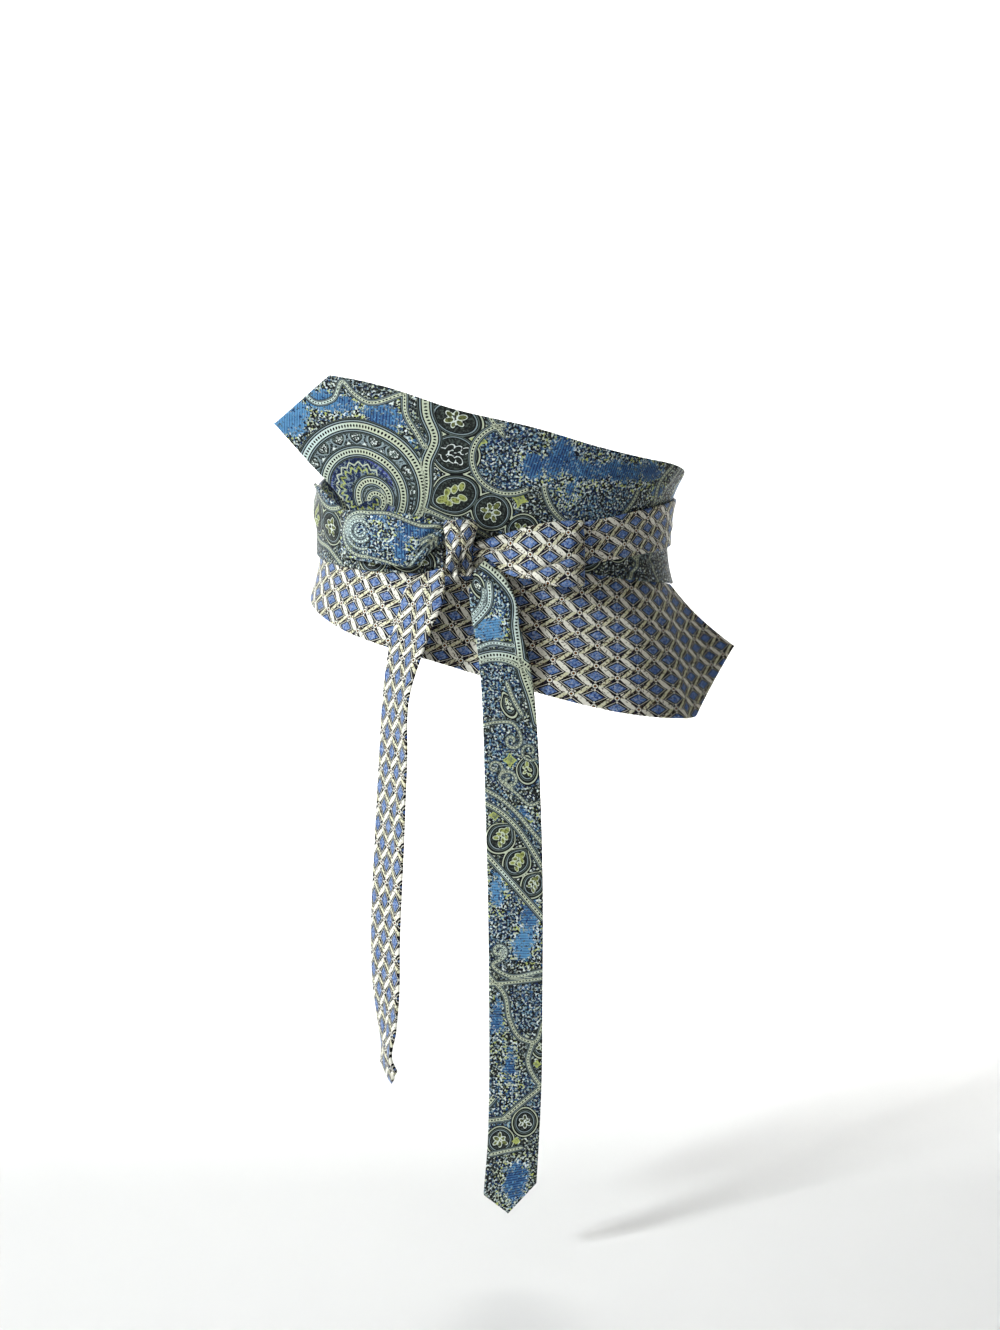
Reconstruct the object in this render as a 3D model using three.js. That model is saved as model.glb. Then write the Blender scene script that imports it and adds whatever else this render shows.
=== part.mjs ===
// Wrap belt made of two neckties, tied in a bow in front, in the form it has when worn.
//
// The two ties lie edge to edge across the front, their wide blades at opposite ends.
// Each runs round its own side to the back, where they cross, and comes forward over
// the other tie's blade to the bow.
//
// Millimetres. The origin is the middle of the waist at its narrowest height.
// +X is the wearer's left, -Y the front, +Z up. Angles round the figure are in degrees,
// 0 in front and 90 at the wearer's left side.

import * as THREE from 'three';

// ---- driving sizes -----------------------------------------------------------------

const CLOTH = 2.4; // a pressed tie: two turned sides on an interlining
const SEAM_GAP = 0.3; // between pieces that are sewn or run on into each other
const LAYER_GAP = 0.5; // between a strap and the cloth it lies on
const STEP = 9.5; // longest facet along a strip
const ROUND = 0.9; // how far a folded edge rounds in from the strip's edge
const TIP = 0.5; // half width of the strip at the very tip of a blade
const FIGURE_POWER = 2.25; // 2 is an ellipse, more is squarer

const FIRST_LAYER = CLOTH / 2;
const SECOND_LAYER = FIRST_LAYER + CLOTH + LAYER_GAP;

/** A table with named columns: one row for each section, fold or point. */
function table(columns, ...rows) {
  const names = columns.split(' ');
  return Object.fromEntries(names.map((name, i) => [name, rows.map((row) => row[i])]));
}

// The clothed waist that the belt closes round, as level sections.
const FIGURE = table(
  'z halfWidth halfDepth',
  [-150, 160, 118],
  [-100, 147, 111],
  [-60, 135.5, 103],
  [-35, 127.5, 98.5],
  [-15, 121, 95.5],
  [0, 118.5, 94],
  [20, 118.5, 94.5],
  [40, 123, 96],
  [60, 132.5, 99],
  [100, 142, 105],
  [150, 149, 110],
);

// Upper tie: its lower edge from the blade, along the seam, round the back to the bow.
const UPPER_EDGE = table(
  'angle z lift width',
  [-110, 39, FIRST_LAYER, 91],
  [-75, 33, FIRST_LAYER, 91],
  [-62, 30.2, FIRST_LAYER, 91],
  [-50, 27, FIRST_LAYER, 90],
  [-25, 17, FIRST_LAYER, 83],
  [0, 6, FIRST_LAYER, 83],
  [25, -5, FIRST_LAYER, 81.5],
  [50, -14, FIRST_LAYER, 81],
  [62, -17.3, FIRST_LAYER, 81.5],
  [71, -19.2, FIRST_LAYER, 81],
  [90, -23, FIRST_LAYER, 79],
  [120, -17, FIRST_LAYER, 72],
  [150, -7, FIRST_LAYER, 64],
  [180, 4, FIRST_LAYER, 58],
  [203, 13, FIRST_LAYER, 52],
  [212, 16, FIRST_LAYER, 50],
  [230, 17.5, SECOND_LAYER, 47],
  [245, 14.5, SECOND_LAYER, 45],
  [258, 9, SECOND_LAYER, 45],
  [270, 2, SECOND_LAYER, 48],
  [285, -3, SECOND_LAYER, 52.5],
  [293, -4.5, SECOND_LAYER, 47.5],
  [300, -6, SECOND_LAYER, 40],
  [310, -7.5, SECOND_LAYER, 33],
  [335, -8.5, SECOND_LAYER, 24],
  [350, -8, SECOND_LAYER, 21],
);

// Lower tie: its upper edge from the bow, round the back, along the seam to its blade.
const LOWER_EDGE = table(
  'angle z lift width',
  [-375, 12, SECOND_LAYER, 20],
  [-364, 14, SECOND_LAYER, 22],
  [-345, 20, SECOND_LAYER, 27],
  [-322, 26, SECOND_LAYER, 28],
  [-300, 33, SECOND_LAYER, 31],
  [-285, 36, SECOND_LAYER, 33],
  [-270, 37, SECOND_LAYER, 35],
  [-240, 36, SECOND_LAYER, 40],
  [-210, 32, SECOND_LAYER, 45],
  [-180, 24, SECOND_LAYER, 50],
  [-160, 15, SECOND_LAYER, 53],
  [-148, 14, SECOND_LAYER, 54],
  [-130, 16, FIRST_LAYER, 56],
  [-115, 25, FIRST_LAYER, 59],
  [-95, 35, FIRST_LAYER, 63],
  [-75, 33, FIRST_LAYER, 69],
  [-62, 30.2, FIRST_LAYER, 72],
  [-50, 27, FIRST_LAYER, 75],
  [-25, 17, FIRST_LAYER, 77],
  [0, 6, FIRST_LAYER, 78],
  [25, -5, FIRST_LAYER, 82],
  [50, -14, FIRST_LAYER, 89],
  [62, -17.3, FIRST_LAYER, 92],
  [71, -19.4, FIRST_LAYER, 94],
  [78, -22.5, FIRST_LAYER, 95],
  [90, -31, FIRST_LAYER, 95],
  [108, -42, FIRST_LAYER, 95],
);

// Where the blades leave the figure, and how fast their free ends curl outward.
const UPPER_BLADE = { tip: -153, tipAcross: 0.6, leaves: -78, lean: -0.1, curl: 0.0035, end: 88 };
const LOWER_BLADE = { tip: 195, tipAcross: 0.5, leaves: 138, lean: 0, curl: 0.01, end: -88 };

// The straps stop at the sides of the knot.
const UPPER_WRAP = { start: 272, end: 338 };
const LOWER_WRAP = { start: -364, end: -272 };

// Bow loops, from the knot along the front layer, round the end and back behind it.
// `out` is how far the cloth's middle stands in front of the figure.
const LEFT_LOOP = table(
  'x out z width',
  [-32.4, 13.5, 18.5, 11],
  [-38.5, 16, 17.5, 18],
  [-48, 18.5, 14.2, 30],
  [-70, 22, 15.2, 34.5],
  [-87, 21.5, 16, 33],
  [-97, 17.5, 16, 31.5],
  [-99.8, 15, 15.8, 31],
  [-97, 12.6, 15.4, 31],
  [-84, 10.2, 14, 30],
  [-60, 8.6, 12.5, 28],
  [-42, 8.6, 9, 25],
  [-32.4, 8.4, 6.5, 22],
);
const RIGHT_LOOP = table(
  'x out z width',
  [-12.8, 12.5, 8, 8],
  [-4, 13.8, 8.4, 13],
  [8, 15.5, 5.5, 25],
  [24, 17.5, 6, 34],
  [42, 16.5, 5.2, 41],
  [54.5, 13.2, 5, 42],
  [57.5, 11, 5, 42],
  [54.5, 8.9, 5, 42],
  [38, 8.4, 5, 38],
  [14, 7.9, 5, 28],
  [-12.8, 7.7, 5, 14],
);

// Tails, from the knot down: where the two long edges are.
const LEFT_TAIL = table(
  'leftX leftY leftZ rightX rightY rightZ',
  [-43, -104.5, -6.5, -31.5, -107.5, -3.5],
  [-56, -103, -16.5, -31.2, -111, -16],
  [-60, -102, -28, -33, -118, -27],
  [-64, -101.5, -42, -38.8, -123.5, -41],
  [-67.7, -101, -57, -45.2, -127, -57],
  [-71, -101, -81, -52.8, -130, -81],
  [-74.4, -101.5, -127, -55.3, -130.5, -127],
  [-77.5, -103, -180, -57.6, -131.5, -180],
  [-80.5, -104.5, -246, -60.7, -132.5, -246],
  [-79.7, -105, -279, -61.3, -134, -279],
  [-76.9, -104.5, -302, -63.5, -136, -302],
  [-74.2, -104, -325, -66, -137, -322],
  [-75, -104.5, -333, -63, -136, -329],
);
const RIGHT_TAIL = table(
  'leftX leftY leftZ rightX rightY rightZ',
  [-12.6, -107, -6, -5.5, -108.5, 1.2],
  [-12.7, -108, -10, -1, -109.8, -2.4],
  [-15.4, -109, -15.5, 5.5, -111.5, -7.4],
  [-15.4, -109.6, -22, 11, -113.5, -16],
  [-14.4, -110, -32, 15.2, -114.3, -27],
  [-12.5, -110, -44, 16.5, -114, -39],
  [-10, -111, -59, 21.5, -113.5, -56],
  [-8, -112, -79, 25.5, -113.5, -77],
  [-7, -113, -99, 27.5, -115, -98],
  [-5.5, -115, -153, 30.5, -117, -153],
  [-4, -117, -206, 32, -118, -206],
  [-3, -118.5, -286, 32, -119, -286],
  [-3, -119, -347, 31.5, -119, -347],
  [-4, -119, -384, 30, -119, -382],
  [-6.8, -119, -420, 28.4, -119, -412],
);
const TAIL_STEP = 14;
const TAIL_TIP = { left: 12, right: 17 }; // how far the point reaches below the last row

// Knot: level sections. `back` and `front` are how far it stands out from the figure.
const KNOT = table(
  'z x halfWidth back front',
  [27, -21, 9.4, 10, 14.5],
  [24.5, -21, 10.8, 8, 19.5],
  [18, -21.3, 10, 7, 23],
  [8, -22, 8.2, 7, 23],
  [0, -22.1, 8.5, 7, 25],
  [-6, -22, 9, 7.5, 24.5],
  [-9, -22, 8.2, 9.5, 20],
);
const KNOT_SIDES = 28;
const KNOT_ROUNDING = 0.7; // under 1 squares the rings
const KNOT_PLEATS = { count: 3, depth: 0.9 };

// ---- curves and the figure ---------------------------------------------------------

/** Smooth curve through a table's column: cubic pieces whose slopes are the rows' own. */
function smooth(xs, ys, x) {
  const last = xs.length - 1;
  const at = Math.min(Math.max(x, xs[0]), xs[last]);
  let i = 0;
  while (i < last - 1 && xs[i + 1] < at) i += 1;
  const rise = (k) => (ys[k + 1] - ys[k]) / (xs[k + 1] - xs[k]);
  const slope = (k) => {
    if (k === 0) return rise(0);
    if (k === last) return rise(last - 1);
    const before = xs[k] - xs[k - 1];
    const after = xs[k + 1] - xs[k];
    return (after * rise(k - 1) + before * rise(k)) / (before + after);
  };
  const span = xs[i + 1] - xs[i];
  const t = (at - xs[i]) / span;
  return (
    (2 * t ** 3 - 3 * t ** 2 + 1) * ys[i] +
    (t ** 3 - 2 * t ** 2 + t) * span * slope(i) +
    (-2 * t ** 3 + 3 * t ** 2) * ys[i + 1] +
    (t ** 3 - t ** 2) * span * slope(i + 1)
  );
}

/** Level stretches with an even change between them, which never overshoots. */
function ease(xs, ys, x) {
  let i = 0;
  while (i < xs.length - 2 && xs[i + 1] < x) i += 1;
  const t = Math.min(1, Math.max(0, (x - xs[i]) / (xs[i + 1] - xs[i])));
  return ys[i] + (ys[i + 1] - ys[i]) * t * t * (3 - 2 * t);
}

/** The figure's half width and half depth at a height. */
function section(z) {
  return {
    a: smooth(FIGURE.z, FIGURE.halfWidth, z),
    b: smooth(FIGURE.z, FIGURE.halfDepth, z),
  };
}

/** Point on the figure at an angle and height, moved out by lift along the level normal. */
function onFigure(angle, z, lift) {
  const n = FIGURE_POWER;
  const { a, b } = section(z);
  const turn = THREE.MathUtils.degToRad(angle);
  const side = Math.sin(turn);
  const front = Math.cos(turn);
  const r = (Math.abs(side / a) ** n + Math.abs(front / b) ** n) ** (-1 / n);
  const x = r * side;
  const y = -r * front;
  const nx = (Math.sign(x) * Math.abs(x / a) ** (n - 1)) / a;
  const ny = (Math.sign(y) * Math.abs(y / b) ** (n - 1)) / b;
  const size = Math.hypot(nx, ny);
  return new THREE.Vector3(x + (nx / size) * lift, y + (ny / size) * lift, z);
}

/** Point a distance `out` in front of the figure. */
function inFront(x, out, z) {
  const { a, b } = section(z);
  const n = FIGURE_POWER;
  const y = -b * (1 - Math.min(1, Math.abs(x / a)) ** n) ** (1 / n);
  return new THREE.Vector3(x, y - out, z);
}

/** A strip's way round the figure: `along` in millimetres from the front, `across` up. */
class Route {
  constructor(rows) {
    this.rows = rows;
    this.angles = [];
    this.lengths = [];
    const first = rows.angle[0];
    const last = rows.angle.at(-1);
    let before = null;
    let length = 0;
    for (let angle = first; angle <= last; angle += 0.5) {
      const point = onFigure(angle, this.read('z', angle), this.read('lift', angle));
      if (before) length += point.distanceTo(before);
      this.angles.push(angle);
      this.lengths.push(length);
      before = point;
    }
    const zero = this.lengths[this.angles.indexOf(0)];
    this.lengths = this.lengths.map((value) => value - zero);
  }

  read(column, angle) {
    const curve = column === 'lift' ? ease : smooth;
    return curve(this.rows.angle, this.rows[column], angle);
  }

  lengthAt(angle) {
    return interpolate(this.angles, this.lengths, angle);
  }

  widthAt(along) {
    return this.read('width', interpolate(this.lengths, this.angles, along));
  }

  /** Straight across the strip, so a row of points is square to its edge. */
  point(along, across) {
    const reach = 4;
    const angle = interpolate(this.lengths, this.angles, along);
    const z = this.read('z', angle);
    const lift = this.read('lift', angle);
    const ahead = interpolate(this.lengths, this.angles, along + reach);
    const behind = interpolate(this.lengths, this.angles, along - reach);
    const perDegree = onFigure(angle + 0.1, z, lift).distanceTo(onFigure(angle - 0.1, z, lift)) / 0.2;
    const perRise = onFigure(angle, z + 0.5, lift).distanceTo(onFigure(angle, z - 0.5, lift));
    const round = (ahead - behind) * perDegree;
    const rise = (this.read('z', ahead) - this.read('z', behind)) * perRise;
    const size = Math.hypot(round, rise);
    return onFigure(
      angle - ((rise / size) * across) / perDegree,
      z + ((round / size) * across) / perRise,
      lift,
    );
  }

  /** As point, but past `leaves` the cloth runs on free of the figure and curls outward. */
  free(along, across, side, { leaves, lean, curl }) {
    const edge = leaves + lean * across;
    const past = (along - edge) * side;
    if (past <= 0) return this.point(along, across);
    const start = this.point(edge, across);
    const ahead = start.clone().sub(this.point(edge - 1.5 * side, across)).normalize();
    const over = this.point(edge, across + 1).sub(this.point(edge, across - 1)).normalize();
    const outward = ahead.clone().cross(over).multiplyScalar(side).normalize();
    return start
      .addScaledVector(ahead, Math.sin(curl * past) / curl)
      .addScaledVector(outward, (1 - Math.cos(curl * past)) / curl);
  }
}

/** Straight-line reading of a rising list, run on past its ends. */
function interpolate(xs, ys, x) {
  let low = 0;
  let high = xs.length - 1;
  while (high - low > 1) {
    const middle = (low + high) >> 1;
    if (xs[middle] <= x) low = middle;
    else high = middle;
  }
  return ys[low] + ((ys[high] - ys[low]) * (x - xs[low])) / (xs[high] - xs[low]);
}

// ---- walls -------------------------------------------------------------------------

/** Stations on whole steps, so that pieces along one seam share them, and given marks. */
function stations(from, to, step, ...fixed) {
  const marks = [from, ...fixed.filter((value) => value > from && value < to), to];
  const clear = (value) => marks.every((mark) => Math.abs(mark - value) > step / 3);
  const list = [...marks];
  for (let k = Math.ceil(from / step); k * step < to; k += 1) {
    if (clear(k * step)) list.push(k * step);
  }
  return list.sort((a, b) => a - b);
}

/**
 * A closed solid through rings of equally many points. A ring goes along its outer side
 * and back along its inner one, so its points pair off across it in the flat caps.
 */
function loft(rings) {
  const count = rings[0].length;
  const positions = rings.flat().flatMap((point) => point.toArray());
  const index = [];
  for (let i = 0; i + 1 < rings.length; i += 1) {
    for (let j = 0; j < count; j += 1) {
      const a = i * count + j;
      const b = i * count + ((j + 1) % count);
      index.push(a, b + count, b, a, a + count, b + count);
    }
  }
  const last = (rings.length - 1) * count;
  for (let j = 0; j < count / 2; j += 1) {
    const far = (count - j) % count;
    const next = count - j - 1;
    if (j + 1 < next) {
      index.push(j, j + 1, next);
      index.push(last + j, last + next, last + j + 1);
    }
    if (j > 0) {
      index.push(j, next, far);
      index.push(last + j, last + far, last + next);
    }
  }
  const geometry = new THREE.BufferGeometry();
  geometry.setAttribute('position', new THREE.Float32BufferAttribute(positions, 3));
  geometry.setIndex(index);
  geometry.computeVertexNormals();
  return geometry;
}

/**
 * A cloth wall on a surface. Each ring goes along the outer face, round the folded edge
 * and back along the inner one.
 */
function clothWall(surface, list, range, faces) {
  const rings = list.map((along) => {
    const [low, high] = range(along);
    const inset = Math.min(ROUND, (high - low) / 4);
    const across = [low];
    for (let j = 0; j <= faces; j += 1) {
      across.push(low + inset + ((high - low - 2 * inset) * j) / faces);
    }
    across.push(high);
    const outer = [];
    const inner = [];
    across.forEach((v, j) => {
      const middle = surface(along, v);
      if (j === 0 || j === across.length - 1) {
        outer.push(middle);
        return;
      }
      const normal = normalTo(surface, along, v).multiplyScalar(CLOTH / 2);
      outer.push(middle.clone().add(normal));
      inner.unshift(middle.clone().sub(normal));
    });
    return [...outer, ...inner];
  });
  return loft(rings);
}

/** The outward normal, from the surface's steps along and across. */
function normalTo(surface, along, across) {
  const reach = 0.5;
  const run = surface(along + reach, across).sub(surface(along - reach, across));
  const rise = surface(along, across + reach).sub(surface(along, across - reach));
  return run.cross(rise).normalize();
}

// ---- ties --------------------------------------------------------------------------

const upperRoute = new Route(UPPER_EDGE);
const lowerRoute = new Route(LOWER_EDGE);

const upperSurface = (along, across) => upperRoute.free(along, across, -1, UPPER_BLADE);
const lowerSurface = (along, across) => lowerRoute.free(along, across, 1, LOWER_BLADE);

/** The upper tie's edges: a square point at the blade, then the full width. */
function upperRange(along) {
  const width = upperRoute.widthAt(along);
  const point = UPPER_BLADE.tipAcross * width;
  const open = Math.max(TIP, along - UPPER_BLADE.tip);
  return [Math.max(SEAM_GAP / 2, point - open), Math.min(width, point + open)];
}

/** The lower tie hangs from its route, so it runs down from the seam. */
function lowerRange(along) {
  const width = lowerRoute.widthAt(along);
  const point = -LOWER_BLADE.tipAcross * width;
  const open = Math.max(TIP, LOWER_BLADE.tip - along);
  return [Math.max(-width, point - open), Math.min(-SEAM_GAP / 2, point + open)];
}

function upperTie(from, to, faces) {
  const width = upperRoute.widthAt(UPPER_BLADE.leaves);
  const corners = [1 - UPPER_BLADE.tipAcross, UPPER_BLADE.tipAcross];
  const fixed = corners.map((share) => UPPER_BLADE.tip + share * width);
  return clothWall(upperSurface, stations(from, to, STEP, ...fixed), upperRange, faces);
}

function lowerTie(from, to, faces) {
  const corner = LOWER_BLADE.tip - lowerRoute.widthAt(LOWER_BLADE.leaves) / 2;
  return clothWall(lowerSurface, stations(from, to, STEP, corner), lowerRange, faces);
}

// ---- bow ---------------------------------------------------------------------------

/** Length along a table of points, measured straight from row to row. */
function chords(points) {
  const lengths = [0];
  for (let i = 1; i < points.length; i += 1) {
    lengths.push(lengths[i - 1] + points[i].distanceTo(points[i - 1]));
  }
  return lengths;
}

/** A loop: the strip goes out, turns over at its end and comes back behind itself. */
function loop(rows) {
  const points = rows.x.map((x, i) => new THREE.Vector3(x, -rows.out[i], rows.z[i]));
  const lengths = chords(points);
  const read = (column, along) => smooth(lengths, rows[column], along);
  const surface = (along, across) => {
    const z = read('z', along);
    const middle = inFront(read('x', along), read('out', along), z);
    middle.z += across;
    return middle;
  };
  const range = (along) => [-read('width', along) / 2, read('width', along) / 2];
  return clothWall(surface, stations(0, lengths.at(-1), 6), range, 4);
}

/** A tail between its two long edges, with a point below its last row. */
function tail(rows, tip) {
  const edge = (side) =>
    rows[`${side}X`].map(
      (x, i) => new THREE.Vector3(x, rows[`${side}Y`][i], rows[`${side}Z`][i]),
    );
  const left = edge('left');
  const right = edge('right');
  const lengths = chords(left.map((point, i) => point.clone().lerp(right[i], 0.5)));
  const read = (column, along) => smooth(lengths, rows[column], along);
  const at = (side, along) =>
    new THREE.Vector3(...['X', 'Y', 'Z'].map((axis) => read(side + axis, along)));
  const end = lengths.at(-1);
  const middle = (along) => at('left', along).lerp(at('right', along), 0.5);
  const down = middle(end).sub(middle(end - 5)).normalize();
  const width = (along) => at('left', along).distanceTo(at('right', along));
  const surface = (along, across) => {
    const on = Math.min(Math.max(along, 0), end);
    const over = at('right', on).sub(at('left', on)).normalize();
    return middle(on).addScaledVector(over, across).addScaledVector(down, along - on);
  };
  const range = (along) => {
    const left = Math.max(0, along - end) / tip;
    const half = Math.max(TIP, (width(Math.min(along, end)) / 2) * (1 - left));
    return [-half, half];
  };
  return clothWall(surface, stations(0, end + tip, TAIL_STEP, end), range, 4);
}

/** The knot: level rings, drawn in at the waist, with pleats down its front. */
function knot(rows, pleats) {
  const half = KNOT_SIDES / 2;
  const rings = rows.z.map((z, i) => {
    const middle = (rows.front[i] + rows.back[i]) / 2;
    const depth = (rows.front[i] - rows.back[i]) / 2;
    return Array.from({ length: KNOT_SIDES }, (_, j) => {
      const turn = (Math.PI * j) / half;
      const bulge = Math.sign(Math.sin(turn)) * Math.abs(Math.sin(turn)) ** KNOT_ROUNDING;
      const pleat = j < half ? pleats.depth * Math.cos(pleats.count * turn * 2) * bulge : 0;
      return inFront(rows.x[i] - rows.halfWidth[i] * Math.cos(turn), middle + depth * bulge + pleat, z);
    });
  });
  return loft(rings);
}

// ---- pieces ------------------------------------------------------------------------

const PAISLEY = { color: 0x5b7488, roughness: 0.6, metalness: 0 };
const DIAMOND = { color: 0x9096a8, roughness: 0.6, metalness: 0 };

const belt = new THREE.Group();

function add(name, geometry, cloth) {
  const mesh = new THREE.Mesh(geometry, new THREE.MeshStandardMaterial(cloth));
  mesh.name = name;
  belt.add(mesh);
}

// Each tie is cut for the model where it passes under the other one at the side.
const upperEnds = [UPPER_BLADE.end, UPPER_WRAP.start].map((angle) => upperRoute.lengthAt(angle));
const lowerEnds = [LOWER_WRAP.end, LOWER_BLADE.end].map((angle) => lowerRoute.lengthAt(angle));

add('upper_tie_blade', upperTie(UPPER_BLADE.tip, upperEnds[0], 8), PAISLEY);
add('upper_tie_back', upperTie(upperEnds[0] + SEAM_GAP, upperEnds[1], 5), PAISLEY);
add('upper_tie_wrap', upperTie(upperEnds[1] + SEAM_GAP, upperRoute.lengthAt(UPPER_WRAP.end), 4), PAISLEY);
add('lower_tie_blade', lowerTie(lowerEnds[1], LOWER_BLADE.tip, 8), DIAMOND);
add('lower_tie_back', lowerTie(lowerEnds[0], lowerEnds[1] - SEAM_GAP, 5), DIAMOND);
add('lower_tie_wrap', lowerTie(lowerRoute.lengthAt(LOWER_WRAP.start), lowerEnds[0] - SEAM_GAP, 4), DIAMOND);
add('left_loop', loop(LEFT_LOOP), PAISLEY);
add('right_loop', loop(RIGHT_LOOP), DIAMOND);
add('knot', knot(KNOT, KNOT_PLEATS), DIAMOND);
add('left_tail', tail(LEFT_TAIL, TAIL_TIP.left), DIAMOND);
add('right_tail', tail(RIGHT_TAIL, TAIL_TIP.right), PAISLEY);

export default belt;
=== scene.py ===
"""Wrap belt of two neckties, tied in a bow in front: its cloth, patterns and studio.

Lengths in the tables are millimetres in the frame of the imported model: +X is the
wearer's left, -Y the front, +Z up, and the origin is the middle of the waist.
Angles round the waist are in degrees, 0 in front and 90 at the wearer's left side.
"""
import math

import bpy
import numpy as np
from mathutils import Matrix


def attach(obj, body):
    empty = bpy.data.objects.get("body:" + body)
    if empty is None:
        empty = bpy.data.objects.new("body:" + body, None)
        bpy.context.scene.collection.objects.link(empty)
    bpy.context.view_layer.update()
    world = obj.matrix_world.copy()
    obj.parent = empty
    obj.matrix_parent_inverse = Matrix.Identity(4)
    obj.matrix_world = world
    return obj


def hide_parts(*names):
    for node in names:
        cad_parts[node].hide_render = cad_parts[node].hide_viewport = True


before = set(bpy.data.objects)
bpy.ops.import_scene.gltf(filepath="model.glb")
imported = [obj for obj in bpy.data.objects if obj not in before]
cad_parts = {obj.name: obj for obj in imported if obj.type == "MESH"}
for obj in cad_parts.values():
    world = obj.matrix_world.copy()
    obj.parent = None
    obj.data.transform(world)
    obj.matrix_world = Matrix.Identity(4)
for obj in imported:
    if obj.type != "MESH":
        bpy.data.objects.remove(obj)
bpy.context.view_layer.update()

MM = 0.001

# ---- driving sizes -------------------------------------------------------------------

CLOTH = 2.2  # a pressed tie: two turned sides on an interlining
ROUND = 1.3  # how far a turned edge rounds in
PUFF = 0.35  # how much fuller the middle of a tie is than its sides
THICK_FROM, FULL_FROM = 6, 20  # the widths at which a strip has its whole thickness and puff
SEAM_GAP = 0.3  # between the two ties' edges, where they are sewn together
SEAM_DEPTH, SEAM_HALF = 0.7, 1.2  # of the groove down a tie's inner face, where its sides meet
TIP = 0.5  # half width of the cloth at the very tip of a blade
WALL = 2.4  # thickness of the walls that the cloth keeps to
LAYER_GAP = 0.5  # between a wall and the one that passes over it
FIRST_LAYER = WALL / 2
SECOND_LAYER = FIRST_LAYER + WALL + LAYER_GAP
FIGURE_POWER = 2.25  # of the superellipse that each level section of the figure is
EDGE_STEPS = 4  # steps round each turned edge
FLAT_WIDTH = dict(upper_tie=91, lower_tie=95, loop=42, tail=37)  # of each stretch, laid flat
FAR = 99.0  # a distance that counts as nowhere near
NEAR, DEEP = 9, 20  # how far the motifs' own distances are followed


# how finely the cloth is divided: steps across its outer and inner faces, and along it
ACROSS = dict(upper_tie=(88, 24), lower_tie=(76, 24), loop=(44, 30), tail=(38, 22))
UPPER_BLADE_STEP, LOWER_BLADE_STEP, BACK_STEP = 1.0, 1.6, 2.4
UPPER_BLADE_TO, LOWER_BLADE_FROM = 150, -160
LOOP_STEP, TAIL_STEP = 0.8, 1.1


def table(columns, *rows):
    """A table with named columns: one row for each section, fold or point."""
    names = columns.split()
    return {name: np.array([row[i] for row in rows], float) for i, name in enumerate(names)}


# level sections of the figure that the cloth is wrapped round
FIGURE = table(
    "z half_width half_depth",
    (-150, 160, 118),
    (-100, 147, 111),
    (-60, 135.5, 103),
    (-35, 127.5, 98.5),
    (-15, 121, 95.5),
    (0, 118.5, 94),
    (20, 118.5, 94.5),
    (40, 123, 96),
    (60, 132.5, 99),
    (100, 142, 105),
    (150, 149, 110),
)
# The ties' ways round the figure. The upper tie stands on its line, and the lower one
# hangs from its own. Lift is how far the middle of the cloth is off the figure.
UPPER_EDGE = table(
    "angle z lift width",
    (-110, 39, FIRST_LAYER, 91),
    (-75, 33, FIRST_LAYER, 91),
    (-62, 30.2, FIRST_LAYER, 91),
    (-50, 27, FIRST_LAYER, 90),
    (-25, 17, FIRST_LAYER, 83),
    (0, 6, FIRST_LAYER, 83),
    (25, -5, FIRST_LAYER, 81.5),
    (50, -14, FIRST_LAYER, 81),
    (62, -17.3, FIRST_LAYER, 81.5),
    (71, -19.2, FIRST_LAYER, 81),
    (90, -23, FIRST_LAYER, 79),
    (120, -17, FIRST_LAYER, 72),
    (150, -7, FIRST_LAYER, 64),
    (180, 4, FIRST_LAYER, 58),
    (203, 13, FIRST_LAYER, 52),
    (212, 16, FIRST_LAYER, 50),
    (230, 17.5, SECOND_LAYER, 43),
    (245, 14.5, SECOND_LAYER, 38.5),
    (258, 9, SECOND_LAYER, 39),
    (270, 2, SECOND_LAYER, 44.5),
    (285, -3, SECOND_LAYER, 51.5),
    (293, -4.5, SECOND_LAYER, 47.5),
    (300, -6, SECOND_LAYER, 40),
    (310, -7.5, SECOND_LAYER, 33),
    (335, -8.5, SECOND_LAYER, 24),
    (350, -8, SECOND_LAYER, 21),
)
LOWER_EDGE = table(
    "angle z lift width",
    (-375, 12, SECOND_LAYER, 20),
    (-364, 14, SECOND_LAYER, 22),
    (-345, 20, SECOND_LAYER, 27),
    (-322, 26, SECOND_LAYER, 28),
    (-300, 33, SECOND_LAYER, 31),
    (-285, 36, SECOND_LAYER, 33),
    (-270, 37, SECOND_LAYER, 35),
    (-240, 36, SECOND_LAYER, 40),
    (-210, 32, SECOND_LAYER, 45),
    (-180, 24, SECOND_LAYER, 50),
    (-160, 15, SECOND_LAYER, 53),
    (-148, 14, SECOND_LAYER, 54),
    (-130, 16, FIRST_LAYER, 56),
    (-115, 25, FIRST_LAYER, 59),
    (-95, 35, FIRST_LAYER, 63),
    (-75, 33, FIRST_LAYER, 69),
    (-62, 30.2, FIRST_LAYER, 72),
    (-50, 27, FIRST_LAYER, 75),
    (-25, 17, FIRST_LAYER, 77),
    (0, 6, FIRST_LAYER, 78),
    (25, -5, FIRST_LAYER, 82),
    (50, -14, FIRST_LAYER, 89),
    (62, -17.3, FIRST_LAYER, 92),
    (71, -19.4, FIRST_LAYER, 94),
    (78, -22.5, FIRST_LAYER, 95),
    (90, -31, FIRST_LAYER, 95),
    (108, -42, FIRST_LAYER, 95),
)
# The blades: the point's place along and its share across, where the cloth leaves the
# figure and how that line leans, and how much it curls away from there.
UPPER_BLADE = dict(tip=-153, tip_across=0.6, leaves=-78, lean=-0.1, curl=0.0035)
LOWER_BLADE = dict(tip=195, tip_across=0.5, leaves=138, lean=0, curl=0.01)
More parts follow.
